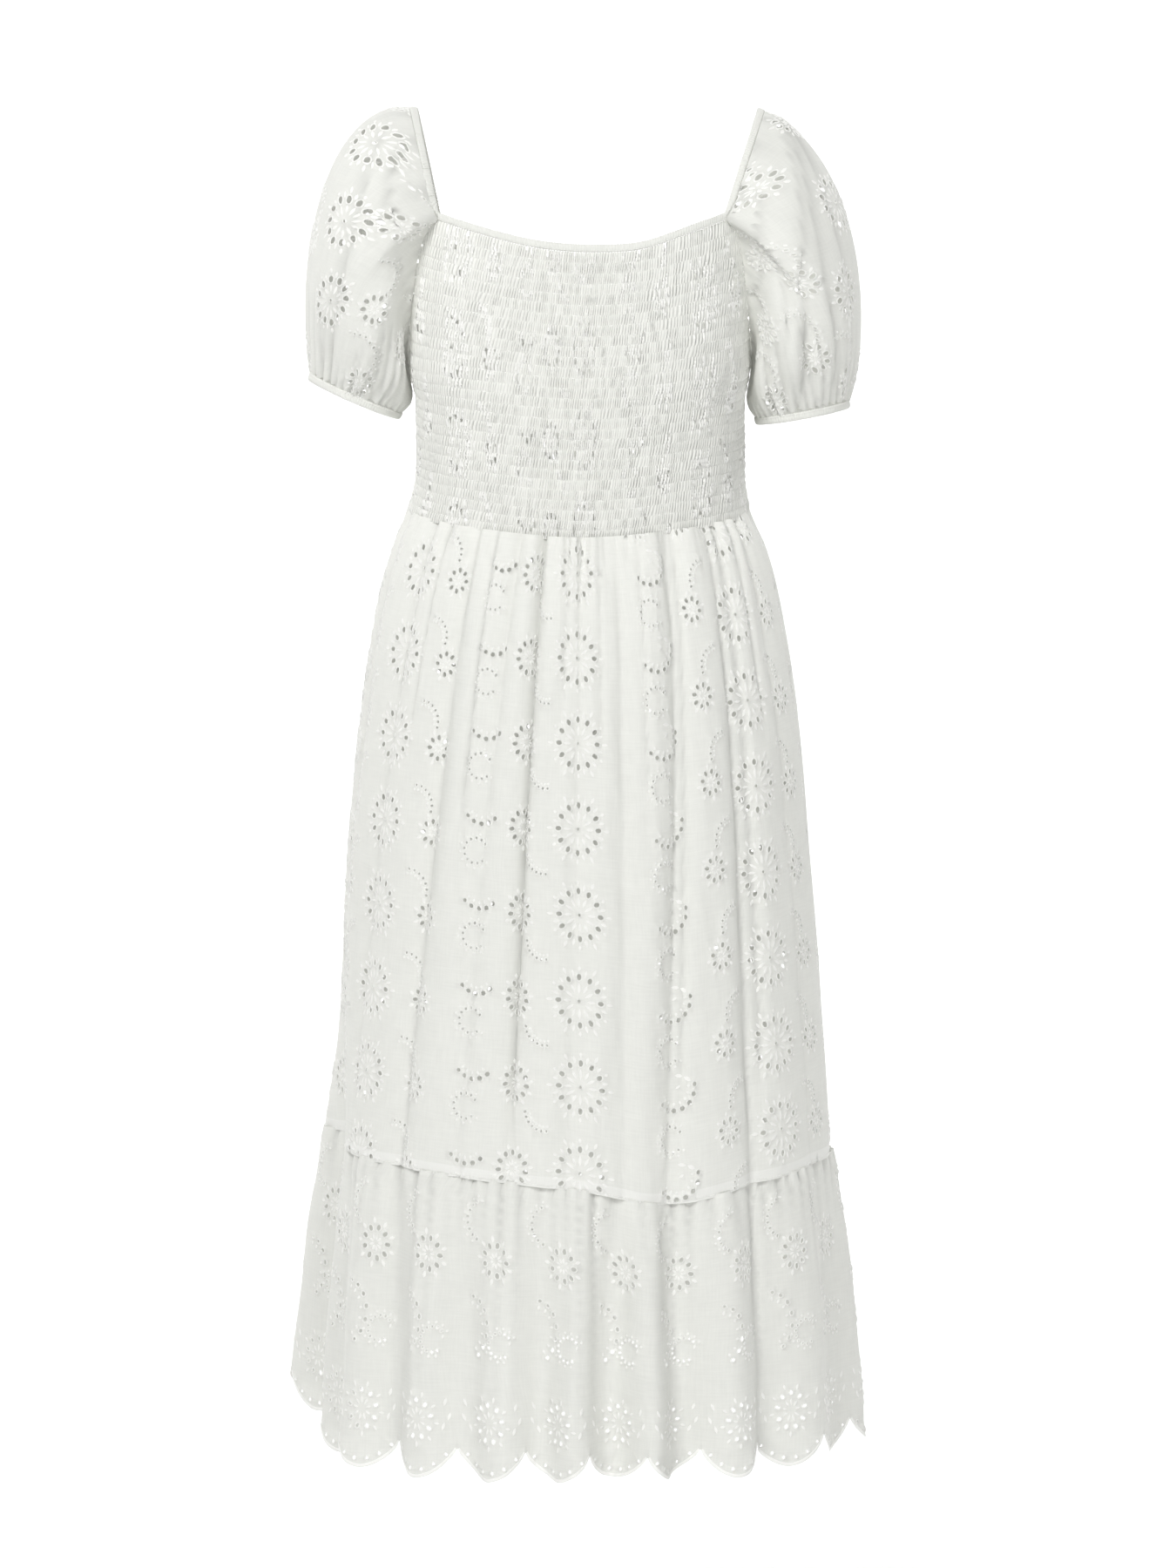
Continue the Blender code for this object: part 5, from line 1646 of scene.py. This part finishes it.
class DRESS_OT_casings(bpy.types.Operator):
    """Gather the narrow casings of the neck and cuffs over their elastic, with their lines of stitches"""

    bl_idname = "dress.make_casings"
    bl_label = "Make casings"

    def execute(self, context):
        pitch = sizes().gather_pitch
        for hand in CUFFS:
            _, centre, out, rear, axis = cuff_frame(hand)
            turn = np.linspace(0.0, 2.0 * np.pi, 721)[:-1]
            radial = np.cos(turn)[:, None] * out + np.sin(turn)[:, None] * rear
            upper = centre + radial
            ways = np.repeat(-axis[None, :], len(upper), axis=0)
            count = int(loop_length(upper) / pitch) * POINTS_PER_GATHER
            upper, ways, radial = spread(upper, (ways, unit(radial)), count)
            outwards = unit(radial)
            ruffled_band(f"casing_cuff_{hand}", upper, ways, outwards, f"cuff_{hand}")
            stitched_line(f"stitches_cuff_{hand}", upper + ways * 0.0012 + outwards * 0.0013)
        edge, ways = neck_edge()
        edge, ways = spread(edge, (ways,), int(loop_length(edge) / pitch) * POINTS_PER_GATHER)
        ways = unit(ways)
        along = unit(np.roll(edge, -3, axis=0) - np.roll(edge, 3, axis=0))
        outwards = unit(np.cross(ways, along))
        inside = np.sum(outwards * edge * LEVEL_PART, axis=1, keepdims=True) < 0
        outwards = np.where(inside, -outwards, outwards)
        ruffled_band("casing_neck", edge, ways, outwards, "neck_casing")
        stitched_line("stitches_neck", edge + ways * 0.0058 + outwards * 0.0013)
        return {"FINISHED"}


def stitch_nodes():
    """A Geometry Nodes group that sews short stitches along a line."""
    group = bpy.data.node_groups.get("sewn_stitches")
    if group:
        return group
    group, start, end = new_group("sewn_stitches", "GeometryNodeTree", (
        ("Geometry", "NodeSocketGeometry"),
        ("Pitch", "NodeSocketFloat", 0.0028),
        ("Thread", "NodeSocketFloat", THREAD_RADIUS),
        ("Seed", "NodeSocketInt", STITCH_SEED),
        ("Material", "NodeSocketMaterial"),
    ), (("Geometry", "NodeSocketGeometry"),))
    nodes, links = group.nodes, group.links
    curve = nodes.new("GeometryNodeMeshToCurve")
    points = nodes.new("GeometryNodeCurveToPoints")
    points.mode = "LENGTH"
    grain = nodes.new("GeometryNodeMeshCylinder")
    grain.inputs["Vertices"].default_value = 5
    grain.inputs["Side Segments"].default_value = 2
    depth = nodes.new("ShaderNodeMath")
    depth.operation = "MULTIPLY"
    depth.inputs[1].default_value = 0.72
    wobble = nodes.new("FunctionNodeRandomValue")
    wobble.data_type = "FLOAT"
    low = [s for s in wobble.inputs if s.name == "Min" and s.type == "VALUE"][0]
    high = [s for s in wobble.inputs if s.name == "Max" and s.type == "VALUE"][0]
    low.default_value, high.default_value = 0.85, 1.1
    place = nodes.new("GeometryNodeInstanceOnPoints")
    real = nodes.new("GeometryNodeRealizeInstances")
    paint = nodes.new("GeometryNodeSetMaterial")
    scale = [s for s in wobble.outputs if s.type == "VALUE"][0]
    for source, target in (
        (start.outputs["Geometry"], curve.inputs["Mesh"]),
        (curve.outputs["Curve"], points.inputs["Curve"]),
        (start.outputs["Pitch"], points.inputs["Length"]),
        (start.outputs["Pitch"], depth.inputs[0]),
        (depth.outputs[0], grain.inputs["Depth"]),
        (start.outputs["Thread"], grain.inputs["Radius"]),
        (points.outputs["Points"], place.inputs["Points"]),
        (points.outputs["Rotation"], place.inputs["Rotation"]),
        (grain.outputs["Mesh"], place.inputs["Instance"]),
        (start.outputs["Seed"], wobble.inputs["Seed"]),
        (scale, place.inputs["Scale"]),
        (place.outputs["Instances"], real.inputs["Geometry"]),
        (real.outputs["Geometry"], paint.inputs["Geometry"]),
        (start.outputs["Material"], paint.inputs["Material"]),
        (paint.outputs["Geometry"], end.inputs["Geometry"]),
    ):
        links.new(source, target)
    return group


def stitched_line(name, line):
    """A row of stitches along a closed line, as one plain mesh."""
    mesh = bpy.data.meshes.new(name)
    count = len(line)
    mesh.from_pydata(line.tolist(), [(i, (i + 1) % count) for i in range(count)], [])
    guide = bpy.data.objects.new(name + "_line", mesh)
    bpy.context.scene.collection.objects.link(guide)
    sewing = guide.modifiers.new("sewing", "NODES")
    sewing.node_group = stitch_nodes()
    values = {
        "Pitch": sizes().stitch_length,
        "Thread": THREAD_RADIUS,
        "Seed": STITCH_SEED,
        "Material": thread_material(),
    }
    for item in sewing.node_group.interface.items_tree:
        if item.in_out == "INPUT" and item.name in values:
            sewing[item.identifier] = values[item.name]
    bpy.context.view_layer.update()
    made = bpy.data.meshes.new_from_object(guide.evaluated_get(bpy.context.evaluated_depsgraph_get()))
    guide.modifiers.remove(sewing)
    bpy.data.objects.remove(guide)
    made.name = name
    piece = bpy.data.objects.new(name, made)
    bpy.context.scene.collection.objects.link(piece)
    made.shade_smooth()
    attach(piece, "root")
    return piece


class DRESS_OT_seams(bpy.types.Operator):
    """Sew the line of stitches along the seam between skirt and flounce"""

    bl_idname = "dress.make_seams"
    bl_label = "Make seams"

    def execute(self, context):
        angles = np.linspace(-180.0, 180.0, 1441)[:-1]
        seam = skirt_point(angles, np.full(len(angles), 0.996))
        outwards = unit(seam * LEVEL_PART)
        stitched_line("stitches_flounce_seam", seam + outwards * 0.0004)
        return {"FINISHED"}


class DRESS_OT_stage(bpy.types.Operator):
    """Set the pale floor, the soft studio lights and the camera"""

    bl_idname = "dress.set_stage"
    bl_label = "Set stage"

    def execute(self, context):
        scene = bpy.context.scene
        bend = 1.6
        profile = [(-6.0, FLOOR_Z), (2.6, FLOOR_Z)]
        profile += [
            (2.6 + bend * math.sin(t), FLOOR_Z + bend - bend * math.cos(t))
            for t in np.linspace(0.1, 1.57, 14)
        ]
        profile += [(4.2, 4.0)]
        points = [(x, y, z) for x in (-7.0, 7.0) for y, z in profile]
        count = len(profile)
        faces = [(i, i + 1, count + i + 1, count + i) for i in range(count - 1)]
        mesh = bpy.data.meshes.new("studio_sweep")
        mesh.from_pydata(points, [], faces)
        mesh.shade_smooth()
        paper, _, _, shader = new_material("studio_paper")
        set_values(shader, {"Base Color": (*colours().floor, 1.0), "Roughness": 0.9})
        mesh.materials.append(paper)
        sweep = bpy.data.objects.new("studio_sweep", mesh)
        scene.collection.objects.link(sweep)
        world = bpy.data.worlds.new("studio_world")
        world.use_nodes = True
        set_values(world.node_tree.nodes["Background"], {"Color": (1.0, 1.0, 1.0, 1.0), "Strength": 0.30})
        scene.world = world
        for name, place, aim, size, power in LIGHTS:
            light = bpy.data.lights.new(name, "AREA")
            light.size = size
            light.energy = power
            lamp = bpy.data.objects.new(name, light)
            lamp.location = place
            lamp.rotation_euler = (Vector(aim) - Vector(place)).to_track_quat("-Z", "Y").to_euler()
            scene.collection.objects.link(lamp)
        sight = Vector(AIM) - Vector(EYE)
        camera = bpy.data.cameras.new("studio_camera")
        camera.sensor_fit = "VERTICAL"
        camera.sensor_height = SENSOR_HEIGHT
        camera.lens = SENSOR_HEIGHT / 2.0 / (HALF_VIEW / sight.length)
        camera.clip_end = 50.0
        view = bpy.data.objects.new("studio_camera", camera)
        view.location = EYE
        view.rotation_euler = sight.to_track_quat("-Z", "Y").to_euler()
        scene.collection.objects.link(view)
        scene.camera = view
        scene.view_settings.view_transform = "Standard"
        return {"FINISHED"}


OPERATORS = (
    DRESS_OT_bodice,
    DRESS_OT_sleeves,
    DRESS_OT_casings,
    DRESS_OT_skirt,
    DRESS_OT_flounce,
    DRESS_OT_seams,
    DRESS_OT_stage,
)


class DRESS_PT_panel(bpy.types.Panel):
    """The dress's sizes and pieces"""

    bl_idname = "DRESS_PT_panel"
    bl_label = "Eyelet midi dress"
    bl_space_type = "VIEW_3D"
    bl_region_type = "UI"
    bl_category = "Dress"

    def draw(self, context):
        for group in (context.scene.dress_sizes, context.scene.dress_colours):
            for name in group.__annotations__:
                self.layout.prop(group, name)
        for operator in OPERATORS:
            self.layout.operator(operator.bl_idname)


CLASSES = (DressSizes, DressColours, *OPERATORS, DRESS_PT_panel)


def register():
    for cls in CLASSES:
        bpy.utils.register_class(cls)
    bpy.types.Scene.dress_sizes = PointerProperty(type=DressSizes)
    bpy.types.Scene.dress_colours = PointerProperty(type=DressColours)


def unregister():
    del bpy.types.Scene.dress_colours
    del bpy.types.Scene.dress_sizes
    for cls in reversed(CLASSES):
        bpy.utils.unregister_class(cls)


def main():
    register()
    bpy.ops.dress.set_stage()
    bpy.ops.dress.make_bodice()
    bpy.ops.dress.make_sleeves()
    bpy.ops.dress.make_casings()
    bpy.ops.dress.make_skirt()
    bpy.ops.dress.make_flounce()
    bpy.ops.dress.make_seams()


if __name__ == "__main__":
    main()
